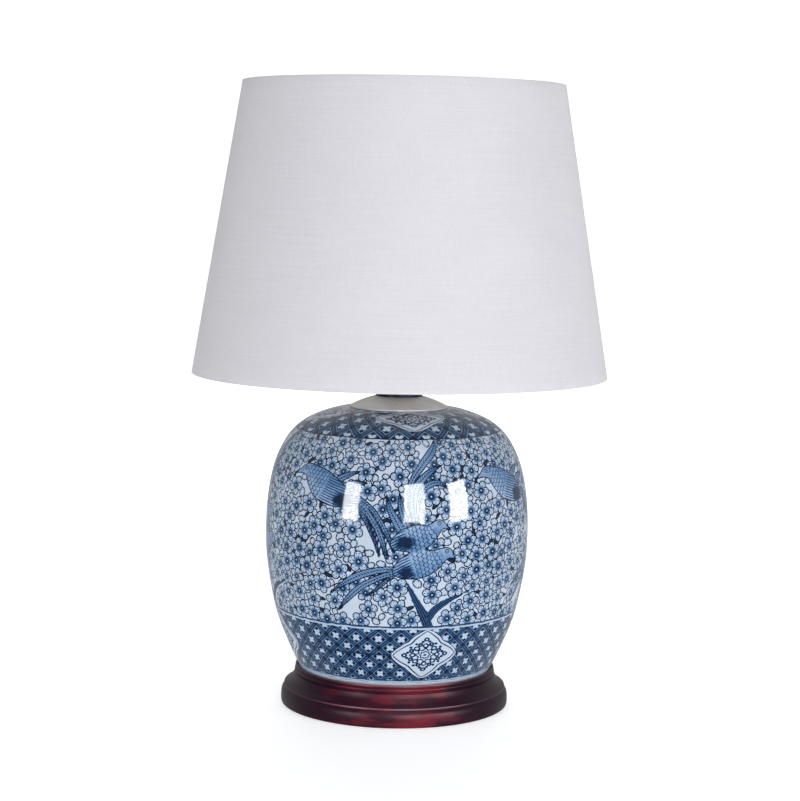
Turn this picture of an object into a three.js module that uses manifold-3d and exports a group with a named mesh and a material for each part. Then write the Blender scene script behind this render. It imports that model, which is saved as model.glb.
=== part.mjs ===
// Table lamp: a painted porcelain jar on a turned wooden base, with a turn-knob socket, a harp and a
// tapered hardback shade held by a finial. Millimetres, +Z up, front towards -Y. The origin is the
// centre of the underside, where the lamp stands.
import * as THREE from 'three';
import { mergeVertices } from 'three/addons/utils/BufferGeometryUtils.js';
import Module from 'manifold-3d';

const wasm = await Module();
wasm.setup();

// ---- Driving dimensions ----------------------------------------------------------------------

const GAP = 0.3; // left between pieces that touch

// wooden base and what is under it
const PAD_RADIUS = 90;
const PAD_HEIGHT = 1.5;
const BASE_RADIUS = 96.8;
const BASE_HEIGHT = 33;
const BASE_SEAT_RADIUS = 83.3; // shallow recess that the jar's foot stands in
const BASE_SEAT_HEIGHT = 30;
const BASE_POCKET_RADIUS = 60; // hollow underneath, for the nut and the flex
const BASE_POCKET_HEIGHT = 18;
const BASE_SKIRT_LOW = 0.4; // the wood reaches down around the pad, just clear of the table
const BASE_SKIRT_RADIUS = 91.3;
const INLET_HEIGHT = 8; // axis of the flex inlet, at the back
const INLET_HOLE_RADIUS = 4.9;
const BUSH_BORE_RADIUS = 3.6;
const BUSH_FLANGE_RADIUS = 6.6;
const BUSH_FLANGE_THICKNESS = 1.8;

// fixings in the pocket under the base
const WASHER_RADIUS = 16;
const WASHER_LOW = 16.2;
const LOCK_WASHER_RADIUS = 9;
const LOCK_WASHER_LOW = 15;
const NUT_ACROSS_FLATS = 15;
const NUT_LOW = 9.6;

// threaded rod that clamps the stack
const ROD_RADIUS = 5;
const ROD_BORE_RADIUS = 3.5;
const ROD_HOLE_RADIUS = ROD_RADIUS + GAP;
const ROD_LOW = 8;
const ROD_HIGH = 284;

// porcelain jar: outline through (radius, height)
const JAR_FOOT = BASE_SEAT_HEIGHT + GAP;
const JAR_WALL = 5;
const JAR_OUTLINE = [
  [82, 33], [91, 52], [100.5, 76], [106.2, 100], [110.2, 126], [111.2, 152], [109.8, 178],
  [105.5, 202], [98.5, 220], [89, 234], [75.5, 244], [57, 251], [42, 253.6],
];
const JAR_MOUTH_RADIUS = 33;
const JAR_FLOOR_LOW = 34;
const JAR_FLOOR_HIGH = 39;

// rubber plug in the jar's mouth
const PLUG_RADIUS = 32;
const PLUG_LOW = 246;
const PLUG_FLANGE_RADIUS = 36;
const PLUG_FLANGE_LOW = 254.2;
const PLUG_FLANGE_THICKNESS = 1.2;

// spun metal cap: part of a sphere
const CAP_RADIUS = 41.5;
const CAP_SPHERE_RADIUS = 86;
const CAP_APEX = 265.3;
const CAP_THICKNESS = 1;
const CAP_RIM_LOW = 253.9;
const CAP_RIM_HIGH = 254.7;
const NECK_RADIUS = 19.8;
const NECK_HIGH = 274;

// socket, standing on the harp's saddle
const SADDLE_WIDTH = 14;
const SADDLE_THICKNESS = 1.5;
const SADDLE_LOW = NECK_HIGH + GAP;
const SADDLE_HIGH = SADDLE_LOW + SADDLE_THICKNESS;
const SOCKET_LOW = SADDLE_HIGH + GAP;
const SOCKET_CAP_HIGH = 298;
const SET_SCREW_HEIGHT = 280;
const SOCKET_BODY_LOW = 292;
const SOCKET_BODY_HIGH = 311;
const SOCKET_BODY_RADIUS = 14.2;
const SOCKET_SHELL_HIGH = 338;
const SWITCH_HEIGHT = 303;
const SWITCH_HOLE_RADIUS = 2.6;
const SWITCH_SHAFT_RADIUS = 1.9;
const SWITCH_SHAFT_REACH = 27.6;
const TERMINAL_OFFSET = 7;
const TERMINAL_HEAD_THICKNESS = 1.8;
const TERMINAL_SHANK_LENGTH = 4.5;

// bulb: standard pear shape, 60 mm across, on a 26 mm screw cap
const BULB_TIP = 313.5;
const BULB_TOP = 425;
const BULB_CAP_RADIUS = 13.1;
const BULB_CAP_HIGH = 341;
const BULB_NECK_RADIUS = 12.1;
const BULB_GLASS_THICKNESS = 0.8;
const BULB_OUTLINE = [[12.1, 341.5], [14.5, 348], [20, 359], [26.6, 371], [29.8, 384], [29.6, 396],
  [26, 408], [18, 418], [9, 423.6], [0, BULB_TOP]];

// harp: a wire loop in the XZ plane, outline through (x, z) from one foot to the top
const HARP_WIRE_RADIUS = 1.6;
const HARP_TOP = 492;
const HARP_OUTLINE = [[28.9, 277.5], [28.9, 292], [28.9, 305], [34, 320], [47, 346], [56, 382], [55, 420],
  [46, 456], [31, 480], [13, 490.6]];
const TANG_X = 26.2; // middle of the saddle's upright tangs
const TANG_WIDTH = 4;
const TANG_THICKNESS = 1.6;
const SLEEVE_X = 27.95;
const SLEEVE_BORE_RADIUS = 3.5;
const SLEEVE_RADIUS = 4.3;
const SLEEVE_LOW = 277;
const SLEEVE_HIGH = 289;

// shade: a cone frustum of cloth on a stiff liner
const SHADE_LOW = 281.7;
const SHADE_HIGH = 524.8;
const SHADE_LOW_RADIUS = 175;
const SHADE_HIGH_RADIUS = 134.6;
const COVER_THICKNESS = 0.6;
const LINER_THICKNESS = 0.5;
const TAPE_THICKNESS = 0.5;
const TAPE_WIDTH = 10;
const RING_WIRE_RADIUS = 1.6;
const RING_INSET = 2.3; // from the shade's rim to the middle of the ring wire
const FITTER_LOW = 498.3;
const FITTER_HIGH = 499.9;
const FITTER_RADIUS = 19;
const SPOKE_WIRE_RADIUS = 1.3;
const SPOKE_ANGLES = [90, 210, 330];

// finial and the stud that it screws on
const STUD_RADIUS = 3.1;
const STUD_HIGH = 510.5;
const FINIAL_LOW = FITTER_HIGH + GAP;
const INSERT_RADIUS = 5;
const INSERT_HIGH = 511;

// facets around the turned pieces
const WIDE = 48;
const MIDDLE = 24;
const NARROW = 16;

// ---- Materials -------------------------------------------------------------------------------

const finish = (color, roughness, metalness) =>
  new THREE.MeshStandardMaterial({ color, roughness, metalness });

const felt = finish(0x2a3a2c, 0.95, 0);
const mahogany = finish(0x4a1016, 0.25, 0);
const porcelain = finish(0x8fa6c8, 0.12, 0);
const nickel = finish(0xa39e97, 0.35, 1);
const darkBronze = finish(0x2b2a33, 0.35, 0.8);
const zinc = finish(0xb4b6b8, 0.4, 1);
const brass = finish(0xb08d4f, 0.35, 1);
const rubber = finish(0x1c1c1e, 0.8, 0);
const phenolic = finish(0x1a1614, 0.4, 0);
const cardboard = finish(0xb49468, 0.9, 0);
const linen = finish(0xdfdde2, 0.9, 0);
const styrene = finish(0xf2f0ec, 0.5, 0);
const frostedGlass = finish(0xf4f4f2, 0.4, 0);
const blackGlass = finish(0x101012, 0.15, 0);

// ---- Shape helpers ---------------------------------------------------------------------------

const lamp = new THREE.Group();

function add(name, geometry, material) {
  const mesh = new THREE.Mesh(geometry, material);
  mesh.name = name;
  lamp.add(mesh);
  return mesh;
}

// a solid of revolution about Z; the profile's points are [radius, height]
function turned(profile, segments) {
  const points = profile.map(([radius, height]) => new THREE.Vector2(radius, height));
  return new THREE.LatheGeometry(points, segments).rotateX(Math.PI / 2);
}

// the same for a profile that goes round a hole, and so closes on itself
function turnedRing(profile, segments) {
  return turned([...profile, profile[0]], segments);
}

function tube(inner, outer, low, high, segments) {
  return turnedRing([[inner, low], [outer, low], [outer, high], [inner, high]], segments);
}

// points on a smooth line through an outline
function smooth(outline, divisions) {
  const curve = new THREE.SplineCurve(outline.map(([radius, height]) => new THREE.Vector2(radius, height)));
  return curve.getPoints(divisions).map((point) => [point.x, point.y]);
}

// the line that runs inside an outline at a constant distance
function inset(outline, distance) {
  return outline.map(([radius, height], index) => {
    const before = outline[Math.max(index - 1, 0)];
    const after = outline[Math.min(index + 1, outline.length - 1)];
    const along = new THREE.Vector2(after[0] - before[0], after[1] - before[1]).normalize();
    return [Math.max(radius - along.y * distance, 0), height + along.x * distance];
  });
}

// a round wire along a smooth line through points; an arc's segments count for half a turn
function wire(points, radius, sides, steps) {
  const section = new THREE.Shape().absarc(0, 0, radius, 0, 2 * Math.PI, false);
  return new THREE.ExtrudeGeometry(section, {
    steps,
    curveSegments: sides / 2,
    bevelEnabled: false,
    extrudePath: new THREE.CatmullRomCurve3(points),
  });
}

function hexNut(acrossFlats, holeRadius, low, high) {
  const corner = acrossFlats / Math.sqrt(3);
  const outline = new THREE.Shape(
    Array.from({ length: 6 }, (_, index) => {
      const angle = (index * Math.PI) / 3;
      return new THREE.Vector2(corner * Math.cos(angle), corner * Math.sin(angle));
    }),
  );
  outline.holes.push(new THREE.Path().absarc(0, 0, holeRadius, 0, 2 * Math.PI, true));
  const settings = { depth: high - low, curveSegments: NARROW / 2, bevelEnabled: false };
  return new THREE.ExtrudeGeometry(outline, settings).translate(0, 0, low);
}

// a geometry made about +Z from height 0, laid along Y: towards the back (+1) or the front (-1)
function laidAlongY(geometry, direction, height) {
  return geometry.rotateX((-direction * Math.PI) / 2).translate(0, 0, height);
}

function toSolid(geometry) {
  const bare = new THREE.BufferGeometry();
  bare.setAttribute('position', geometry.attributes.position.clone());
  bare.setIndex(geometry.index);
  const merged = mergeVertices(bare, 1e-4);
  const corners = Array.from(merged.index.array);
  const triVerts = [];
  for (let start = 0; start < corners.length; start += 3) {
    const [a, b, c] = corners.slice(start, start + 3);
    if (a !== b && b !== c && c !== a) triVerts.push(a, b, c);
  }
  return new wasm.Manifold(new wasm.Mesh({
    numProp: 3,
    vertProperties: merged.attributes.position.array,
    triVerts: new Uint32Array(triVerts),
  }));
}

function toGeometry(solid) {
  const mesh = solid.getMesh();
  const geometry = new THREE.BufferGeometry();
  geometry.setAttribute('position', new THREE.BufferAttribute(mesh.vertProperties, 3));
  geometry.setIndex(new THREE.BufferAttribute(mesh.triVerts, 1));
  geometry.computeVertexNormals();
  return geometry;
}

function cut(geometry, ...tools) {
  return toGeometry(tools.reduce((solid, tool) => solid.subtract(toSolid(tool)), toSolid(geometry)));
}

function join(geometry, ...others) {
  return toGeometry(others.reduce((solid, other) => solid.add(toSolid(other)), toSolid(geometry)));
}

const capHeight = (radius, sphereRadius) =>
  CAP_APEX - CAP_SPHERE_RADIUS + Math.sqrt(sphereRadius ** 2 - radius ** 2);

// ---- Wooden base -----------------------------------------------------------------------------

function woodenBase() {
  const underside = PAD_HEIGHT + GAP;
  const torus = [[96, BASE_SKIRT_LOW], [96.7, 1.6], [BASE_RADIUS, 5], [BASE_RADIUS, 8.5], [96.3, 11],
    [95.2, 13], [94.2, 14]];
  const quirk = [[94.4, 15.5], [93.2, 16.7]];
  const cove = [[89.6, 19.2], [87, 22.3], [85.4, 26]];
  const bead = [[84.6, 26.8], [85, 28.6], [84.8, 30], [84.2, BASE_HEIGHT]];
  const seat = [[BASE_SEAT_RADIUS, BASE_HEIGHT], [BASE_SEAT_RADIUS, BASE_SEAT_HEIGHT]];
  const hole = [[ROD_HOLE_RADIUS, BASE_SEAT_HEIGHT], [ROD_HOLE_RADIUS, BASE_POCKET_HEIGHT]];
  const pocket = [[BASE_POCKET_RADIUS, BASE_POCKET_HEIGHT], [BASE_POCKET_RADIUS, underside]];
  const skirt = [[BASE_SKIRT_RADIUS, underside], [BASE_SKIRT_RADIUS, BASE_SKIRT_LOW]];
  const top = [...torus, ...quirk, ...cove, ...bead, ...seat];
  const block = turnedRing([...top, ...hole, ...pocket, ...skirt], WIDE);
  const drillStart = BASE_POCKET_RADIUS - 10;
  const drillLength = BASE_RADIUS + 10 - drillStart;
  const drill = new THREE.CylinderGeometry(INLET_HOLE_RADIUS, INLET_HOLE_RADIUS, drillLength, NARROW);
  return cut(block, drill.translate(0, drillStart + drillLength / 2, INLET_HEIGHT));
}

// rubber bush for the flex, in the back of the base
function inletBush() {
  const inside = BASE_POCKET_RADIUS - 2;
  const flange = BASE_RADIUS + GAP;
  const outside = flange + BUSH_FLANGE_THICKNESS;
  const barrelRadius = INLET_HOLE_RADIUS - GAP;
  const profile = [[BUSH_BORE_RADIUS, inside], [barrelRadius, inside], [barrelRadius, flange],
    [BUSH_FLANGE_RADIUS, flange], [BUSH_FLANGE_RADIUS - 0.4, outside], [BUSH_BORE_RADIUS, outside]];
  return laidAlongY(turnedRing(profile, NARROW), 1, INLET_HEIGHT);
}

add('felt_pad', turned([[0, 0], [PAD_RADIUS, 0], [PAD_RADIUS, PAD_HEIGHT], [0, PAD_HEIGHT]], WIDE), felt);
add('wooden_base', woodenBase(), mahogany);
add('inlet_bush', inletBush(), rubber);
add('base_washer', tube(ROD_HOLE_RADIUS, WASHER_RADIUS, WASHER_LOW, BASE_POCKET_HEIGHT - GAP, MIDDLE), zinc);
add('base_lock_washer',
  tube(ROD_HOLE_RADIUS, LOCK_WASHER_RADIUS, LOCK_WASHER_LOW, WASHER_LOW - GAP, NARROW), zinc);
add('base_nut', hexNut(NUT_ACROSS_FLATS, ROD_HOLE_RADIUS, NUT_LOW, LOCK_WASHER_LOW - GAP), brass);
add('lamp_rod', tube(ROD_BORE_RADIUS, ROD_RADIUS, ROD_LOW, ROD_HIGH, NARROW), zinc);

// ---- Jar, cap and neck -----------------------------------------------------------------------

function jar() {
  const outside = smooth(JAR_OUTLINE, 14);
  const foot = [[74, JAR_FOOT], [81.7, JAR_FOOT]];
  const lip = [[36.5, 253.9], [JAR_MOUTH_RADIUS, 252.6], [JAR_MOUTH_RADIUS, 249.5]];
  const fillet = 3;
  const inside = inset(outside, JAR_WALL)
    .filter(([radius, height], index) =>
      index % 2 && radius > JAR_MOUTH_RADIUS && height > JAR_FLOOR_HIGH + fillet)
    .reverse();
  const holeRadius = ROD_HOLE_RADIUS + 1;
  const floor = [[75, JAR_FLOOR_HIGH], [holeRadius, JAR_FLOOR_HIGH], [holeRadius, JAR_FLOOR_LOW],
    [73, JAR_FLOOR_LOW]];
  return turnedRing([...foot, ...outside, ...lip, ...inside, ...floor], WIDE);
}

function mouthPlug() {
  const top = PLUG_FLANGE_LOW + PLUG_FLANGE_THICKNESS;
  return turnedRing([
    [ROD_HOLE_RADIUS, PLUG_LOW],
    [PLUG_RADIUS, PLUG_LOW],
    [PLUG_RADIUS, PLUG_FLANGE_LOW],
    [PLUG_FLANGE_RADIUS, PLUG_FLANGE_LOW],
    [PLUG_FLANGE_RADIUS, top],
    [ROD_HOLE_RADIUS, top],
  ], MIDDLE);
}

function vaseCap() {
  const radii = [40.6, 30, 17, ROD_HOLE_RADIUS];
  const top = radii.map((radius) => [radius, capHeight(radius, CAP_SPHERE_RADIUS)]);
  const innerSphere = CAP_SPHERE_RADIUS - CAP_THICKNESS;
  const under = radii.map((radius) => [radius, capHeight(radius, innerSphere)]).reverse();
  const rim = [[CAP_RADIUS, CAP_RIM_LOW], [CAP_RADIUS, CAP_RIM_HIGH]];
  return turnedRing([...rim, ...top, ...under, [CAP_RADIUS - CAP_THICKNESS, CAP_RIM_LOW]], WIDE);
}

function neckRing() {
  const seat = [16, 10.5, ROD_HOLE_RADIUS]
    .map((radius) => [radius, capHeight(radius, CAP_SPHERE_RADIUS) + GAP + 0.1]);
  const side = [[ROD_HOLE_RADIUS, NECK_HIGH], [14.5, NECK_HIGH], [16.5, 270.4], [NECK_RADIUS, 268.2],
    [NECK_RADIUS, 263.4]];
  return turnedRing([...seat.reverse(), ...side.reverse()], MIDDLE);
}

add('porcelain_jar', jar(), porcelain);
add('mouth_plug', mouthPlug(), rubber);
add('vase_cap', vaseCap(), nickel);
add('neck_ring', neckRing(), darkBronze);

// ---- Harp ------------------------------------------------------------------------------------

function harpSaddle() {
  const plate = new THREE.BoxGeometry(2 * TANG_X + TANG_THICKNESS, SADDLE_WIDTH, SADDLE_THICKNESS)
    .translate(0, 0, (SADDLE_LOW + SADDLE_HIGH) / 2);
  const tangHeight = SLEEVE_HIGH + 1 - SADDLE_LOW;
  const tangs = [-TANG_X, TANG_X].map((x) =>
    new THREE.BoxGeometry(TANG_THICKNESS, TANG_WIDTH, tangHeight)
      .translate(x, 0, SADDLE_LOW + tangHeight / 2));
  const hole = turned([[0, SADDLE_LOW - 1], [ROD_HOLE_RADIUS, SADDLE_LOW - 1],
    [ROD_HOLE_RADIUS, SADDLE_HIGH + 1], [0, SADDLE_HIGH + 1]], NARROW);
  return cut(join(plate, ...tangs), hole);
}

function harpWire() {
  const right = HARP_OUTLINE.map(([x, z]) => new THREE.Vector3(x, 0, z));
  const left = HARP_OUTLINE.map(([x, z]) => new THREE.Vector3(-x, 0, z)).reverse();
  return wire([...right, new THREE.Vector3(0, 0, HARP_TOP), ...left], HARP_WIRE_RADIUS, 8, 40);
}

function harpSwivel() {
  const collarLow = HARP_TOP + HARP_WIRE_RADIUS + GAP;
  const collarHigh = FITTER_LOW - GAP;
  return turned([[0, collarLow], [6, collarLow], [6.6, collarLow + 1], [6.6, collarHigh],
    [STUD_RADIUS, collarHigh], [STUD_RADIUS, STUD_HIGH], [0, STUD_HIGH]], NARROW);
}

add('harp_saddle', harpSaddle(), nickel);
add('harp_wire', harpWire(), nickel);
for (const [side, x] of [['left', -SLEEVE_X], ['right', SLEEVE_X]]) {
  const sleeve = tube(SLEEVE_BORE_RADIUS, SLEEVE_RADIUS, SLEEVE_LOW, SLEEVE_HIGH, NARROW);
  add(`harp_sleeve_${side}`, sleeve.translate(x, 0, 0), nickel);
}
add('harp_swivel', harpSwivel(), nickel);

// ---- Socket and switch -----------------------------------------------------------------------

function socketCap() {
  const floorHeight = 284.4;
  const outside = [[8.5, SOCKET_LOW], [8.5, 283], [13, 285.6], [16.4, 289.8], [17, 293],
    [17, SOCKET_CAP_HIGH]];
  const inside = [[16.1, SOCKET_CAP_HIGH], [16.1, 293.2], [15.5, 290.4], [12.4, 286.7],
    [7.6, floorHeight]];
  const middle = [[ROD_HOLE_RADIUS, floorHeight], [ROD_HOLE_RADIUS, SOCKET_LOW]];
  const cup = turnedRing([...outside, ...inside, ...middle], MIDDLE);
  const screwHole = new THREE.CylinderGeometry(1.8, 1.8, 8, NARROW).translate(0, 8.5, SET_SCREW_HEIGHT);
  return cut(cup, screwHole);
}

function socketBody() {
  const block = turned([[0, SOCKET_BODY_LOW], [SOCKET_BODY_RADIUS, SOCKET_BODY_LOW],
    [SOCKET_BODY_RADIUS, SOCKET_BODY_HIGH], [0, SOCKET_BODY_HIGH]], MIDDLE);
  const shaftBore = new THREE.CylinderGeometry(2.2, 2.2, 14, NARROW).translate(0, -11, SWITCH_HEIGHT);
  const screwBores = [-TERMINAL_OFFSET, TERMINAL_OFFSET].map((x) =>
    new THREE.CylinderGeometry(1.6, 1.6, 8, NARROW)
      .rotateX(Math.PI / 2)
      .translate(x, 0, SOCKET_BODY_LOW + 1));
  return cut(block, shaftBore, ...screwBores);
}

function terminalScrew(x) {
  const seat = SOCKET_BODY_LOW - GAP;
  const head = seat - TERMINAL_HEAD_THICKNESS;
  const tip = seat + TERMINAL_SHANK_LENGTH;
  return turned([[0, head], [2.8, head], [2.8, seat], [1.3, seat], [1.3, tip], [0, tip]], NARROW)
    .translate(x, 0, 0);
}

// thin tube with a hole in front for the switch shaft
function piercedTube(inner, outer, low, high) {
  const hole = new THREE.CylinderGeometry(SWITCH_HOLE_RADIUS, SWITCH_HOLE_RADIUS, 10, NARROW);
  return cut(tube(inner, outer, low, high, MIDDLE), hole.translate(0, -15, SWITCH_HEIGHT));
}

function screwShell() {
  const low = SOCKET_BODY_HIGH + GAP;
  const high = SOCKET_SHELL_HIGH - 3;
  const outer = 14.1;
  const inner = 13.6;
  const floorTop = low + outer - inner;
  return turnedRing([[8, low], [outer, low], [outer, high], [inner, high], [inner, floorTop], [8, floorTop]],
    MIDDLE);
}

function switchKnob() {
  const near = 22;
  return laidAlongY(turned([[0, near + 6], [2.2, near + 6], [2.2, near], [3.6, near], [4.2, near + 2],
    [7, near + 4.5], [7.4, near + 8], [6.6, near + 11], [3.6, near + 13], [0, near + 13.4]], NARROW),
  -1, SWITCH_HEIGHT);
}

add('socket_cap', socketCap(), brass);
add('socket_set_screw',
  laidAlongY(turned([[0, 5.6], [1.5, 5.6], [1.5, 9.8], [0, 9.8]], NARROW), 1, SET_SCREW_HEIGHT), zinc);
add('socket_body', socketBody(), phenolic);
add('terminal_screw_left', terminalScrew(-TERMINAL_OFFSET), brass);
add('terminal_screw_right', terminalScrew(TERMINAL_OFFSET), zinc);
add('socket_liner', piercedTube(14.5, 15, 293, SOCKET_SHELL_HIGH - 1), cardboard);
add('socket_shell', piercedTube(15.3, 15.8, 294, SOCKET_SHELL_HIGH), brass);
add('screw_shell', screwShell(), brass);
add('centre_contact', turned([[0, 311.3], [4, 311.3], [4, 312], [2, 313.1], [0, 313.1]], NARROW), brass);
const shaftEnds = [[0, 4.5], [SWITCH_SHAFT_RADIUS, 4.5], [SWITCH_SHAFT_RADIUS, SWITCH_SHAFT_REACH],
  [0, SWITCH_SHAFT_REACH]];
add('switch_shaft', laidAlongY(turned(shaftEnds, NARROW), -1, SWITCH_HEIGHT), brass);
add('switch_knob', switchKnob(), brass);

// ---- Bulb ------------------------------------------------------------------------------------

function bulbScrewCap() {
  const threadLow = 321;
  const threadPitch = 3.6;
  const thread = [0, 1, 2, 3].flatMap((turn) => {
    const crest = threadLow + turn * threadPitch;
    return [[BULB_CAP_RADIUS, crest], [BULB_CAP_RADIUS - 0.5, crest + threadPitch / 2]];
  });
  const skirt = [[BULB_CAP_RADIUS, 336], [BULB_CAP_RADIUS, BULB_CAP_HIGH]];
  const inside = [[12.45, BULB_CAP_HIGH], [12.1, 322.4], [8.9, 318.2]];
  return turnedRing([[9.4, 317.4], ...thread, ...skirt, ...inside], MIDDLE);
}

function bulbGlass() {
  const outside = [[BULB_NECK_RADIUS, 330], ...smooth(BULB_OUTLINE, 10)];
  const inside = inset(outside, BULB_GLASS_THICKNESS).reverse();
  inside[0] = [0, BULB_TOP - BULB_GLASS_THICKNESS];
  inside[inside.length - 1] = [BULB_NECK_RADIUS - BULB_GLASS_THICKNESS, 330];
  return turned([...inside, ...outside], MIDDLE);
}

add('bulb_contact', turned([[0, BULB_TIP], [3.6, BULB_TIP + 0.4], [4.6, BULB_TIP + 1.5], [0, BULB_TIP + 1.5]],
  NARROW), zinc);
const insulatorEnds = [[0, BULB_TIP + 1.8], [5, BULB_TIP + 1.8], [8.8, 317.4], [8.5, 318.4], [0, 318.4]];
add('bulb_insulator', turned(insulatorEnds, MIDDLE), blackGlass);
add('bulb_screw_cap', bulbScrewCap(), zinc);
add('bulb_glass', bulbGlass(), frostedGlass);
const stemOutline = [[0, 331], [5, 331], [4, 341], [2.4, 352], [2.8, 361], [0, 363]];
add('bulb_stem', turned(stemOutline, NARROW), frostedGlass);

// ---- Shade -----------------------------------------------------------------------------------

const SHADE_TAPER = (SHADE_LOW_RADIUS - SHADE_HIGH_RADIUS) / (SHADE_HIGH - SHADE_LOW);
const shadeRadius = (height) => SHADE_LOW_RADIUS - (height - SHADE_LOW) * SHADE_TAPER;

// one layer of the cone, a given depth inside its outer face
function shadeLayer(low, high, depth, thickness) {
  return turnedRing([
    [shadeRadius(low) - depth - thickness, low],
    [shadeRadius(low) - depth, low],
    [shadeRadius(high) - depth, high],
    [shadeRadius(high) - depth - thickness, high],
  ], WIDE);
}

const LINER_DEPTH = COVER_THICKNESS + GAP;
const TAPE_DEPTH = LINER_DEPTH + LINER_THICKNESS + GAP;
const RING_DEPTH = TAPE_DEPTH + TAPE_THICKNESS + GAP + RING_WIRE_RADIUS;
const lowRingHeight = SHADE_LOW + RING_INSET;
const highRingHeight = SHADE_HIGH - RING_INSET;
const highRingRadius = shadeRadius(highRingHeight) - RING_DEPTH;

function shadeRing(height) {
  const radius = shadeRadius(height) - RING_DEPTH;
  return new THREE.TorusGeometry(radius, RING_WIRE_RADIUS, 6, WIDE).translate(0, 0, height);
}

// a spoke lies on the fitter, runs outwards and turns up to the top ring
function shadeSpoke(angle) {
  const level = FITTER_HIGH + GAP + SPOKE_WIRE_RADIUS;
  const reach = RING_WIRE_RADIUS + GAP + 0.1;
  const tip = [highRingRadius - reach / 2, highRingHeight - reach * Math.sin(Math.PI / 3)];
  const route = [[12, level], [60, level], [108, level], [119, level + 3], [125, level + 9.5], tip];
  const points = route.map(([radius, height]) =>
    new THREE.Vector3(radius * Math.cos(angle), radius * Math.sin(angle), height));
  return wire(points, SPOKE_WIRE_RADIUS, 6, 12);
}

add('shade_cover', shadeLayer(SHADE_LOW, SHADE_HIGH, 0, COVER_THICKNESS), linen);
add('shade_liner', shadeLayer(SHADE_LOW + 0.5, SHADE_HIGH - 0.5, LINER_DEPTH, LINER_THICKNESS), styrene);
const tape = (low, high) => shadeLayer(low, high, TAPE_DEPTH, TAPE_THICKNESS);
add('shade_low_tape', tape(SHADE_LOW + 0.2, SHADE_LOW + TAPE_WIDTH), linen);
add('shade_high_tape', tape(SHADE_HIGH - TAPE_WIDTH, SHADE_HIGH - 0.2), linen);
add('shade_low_ring', shadeRing(lowRingHeight), zinc);
add('shade_high_ring', shadeRing(highRingHeight), zinc);
SPOKE_ANGLES.forEach((degrees, index) => {
  add(`shade_spoke_${index + 1}`, shadeSpoke(THREE.MathUtils.degToRad(degrees)), zinc);
});
add('shade_fitter', tube(STUD_RADIUS + GAP, FITTER_RADIUS, FITTER_LOW, FITTER_HIGH, MIDDLE), zinc);

// ---- Finial ----------------------------------------------------------------------------------

function finialKnob() {
  const bore = INSERT_RADIUS + GAP;
  const hole = [[0, INSERT_HIGH + GAP], [bore, INSERT_HIGH + GAP], [bore, FINIAL_LOW]];
  const outside = [[9, FINIAL_LOW], [9, 501.8], [7, 503.4], [6.5, 506], [7.6, 509], [8.4, 512.4],
    [7.8, 516], [5.2, 519.6], [0, 521]];
  return turned([...hole, ...outside], MIDDLE);
}

add('finial_insert', tube(STUD_RADIUS + GAP, INSERT_RADIUS, FINIAL_LOW, INSERT_HIGH, NARROW), brass);
add('finial_knob', finialKnob(), nickel);

export default lamp;
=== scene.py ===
"""Looks for the table lamp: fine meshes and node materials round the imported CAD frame.

Outlines are in millimetres, as (radius, height) or (x, height) points, and meshes are made in metres.
"""

import math

import bmesh
import bpy
import numpy as np
from mathutils import Matrix, Vector


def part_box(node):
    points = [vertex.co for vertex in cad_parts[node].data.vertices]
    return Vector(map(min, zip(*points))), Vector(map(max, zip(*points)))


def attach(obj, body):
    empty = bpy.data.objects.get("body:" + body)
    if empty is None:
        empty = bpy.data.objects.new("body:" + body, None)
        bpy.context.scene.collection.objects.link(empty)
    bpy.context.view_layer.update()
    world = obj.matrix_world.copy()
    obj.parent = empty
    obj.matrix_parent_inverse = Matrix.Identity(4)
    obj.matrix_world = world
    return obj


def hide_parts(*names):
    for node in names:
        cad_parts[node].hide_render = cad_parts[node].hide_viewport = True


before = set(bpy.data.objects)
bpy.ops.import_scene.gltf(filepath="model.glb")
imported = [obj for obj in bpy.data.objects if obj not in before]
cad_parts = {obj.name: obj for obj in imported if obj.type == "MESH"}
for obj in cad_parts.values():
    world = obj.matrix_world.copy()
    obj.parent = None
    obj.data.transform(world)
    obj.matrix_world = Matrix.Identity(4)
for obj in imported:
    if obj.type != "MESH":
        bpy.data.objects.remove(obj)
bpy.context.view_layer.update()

MM = 0.001
GAP = 0.3        # mm, left between pieces that touch
TAU = 2 * math.pi


def add_object(name, data):
    thing = bpy.data.objects.new(name, data)
    bpy.context.collection.objects.link(thing)
    return thing


# ---- Camera, which stands where the picture's perspective puts it

CAMERA_DISTANCE = 1.750      # from the lamp's axis, level
CAMERA_HEIGHT = 0.4422
CAMERA_ASIDE = 0.0008
CAMERA_PITCH = math.radians(5.982)   # looking down
CAMERA_ROLL = math.radians(1.0)    # the lamp leans a little to the right in the picture
LENS = 93.46


def add_camera():
    data = bpy.data.cameras.new("camera")
    data.lens = LENS
    data.sensor_width = 36
    camera = add_object("camera", data)
    place = Matrix.Translation((CAMERA_ASIDE, -CAMERA_DISTANCE, CAMERA_HEIGHT))
    aim = Matrix.Rotation(math.pi / 2 - CAMERA_PITCH, 4, "X")
    roll = Matrix.Rotation(CAMERA_ROLL, 4, "Z")
    camera.matrix_world = place @ aim @ roll
    bpy.context.scene.camera = camera


add_camera()


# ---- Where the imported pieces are

def span(node):
    """A piece's lowest and highest point, and half its width along X, a turned piece's radius."""
    corner_a, corner_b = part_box(node)
    return corner_a[2] / MM, corner_b[2] / MM, (corner_b[0] - corner_a[0]) / 2 / MM


def low(node):
    return span(node)[0]


def high(node):
    return span(node)[1]


# ---- Outline helpers

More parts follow.
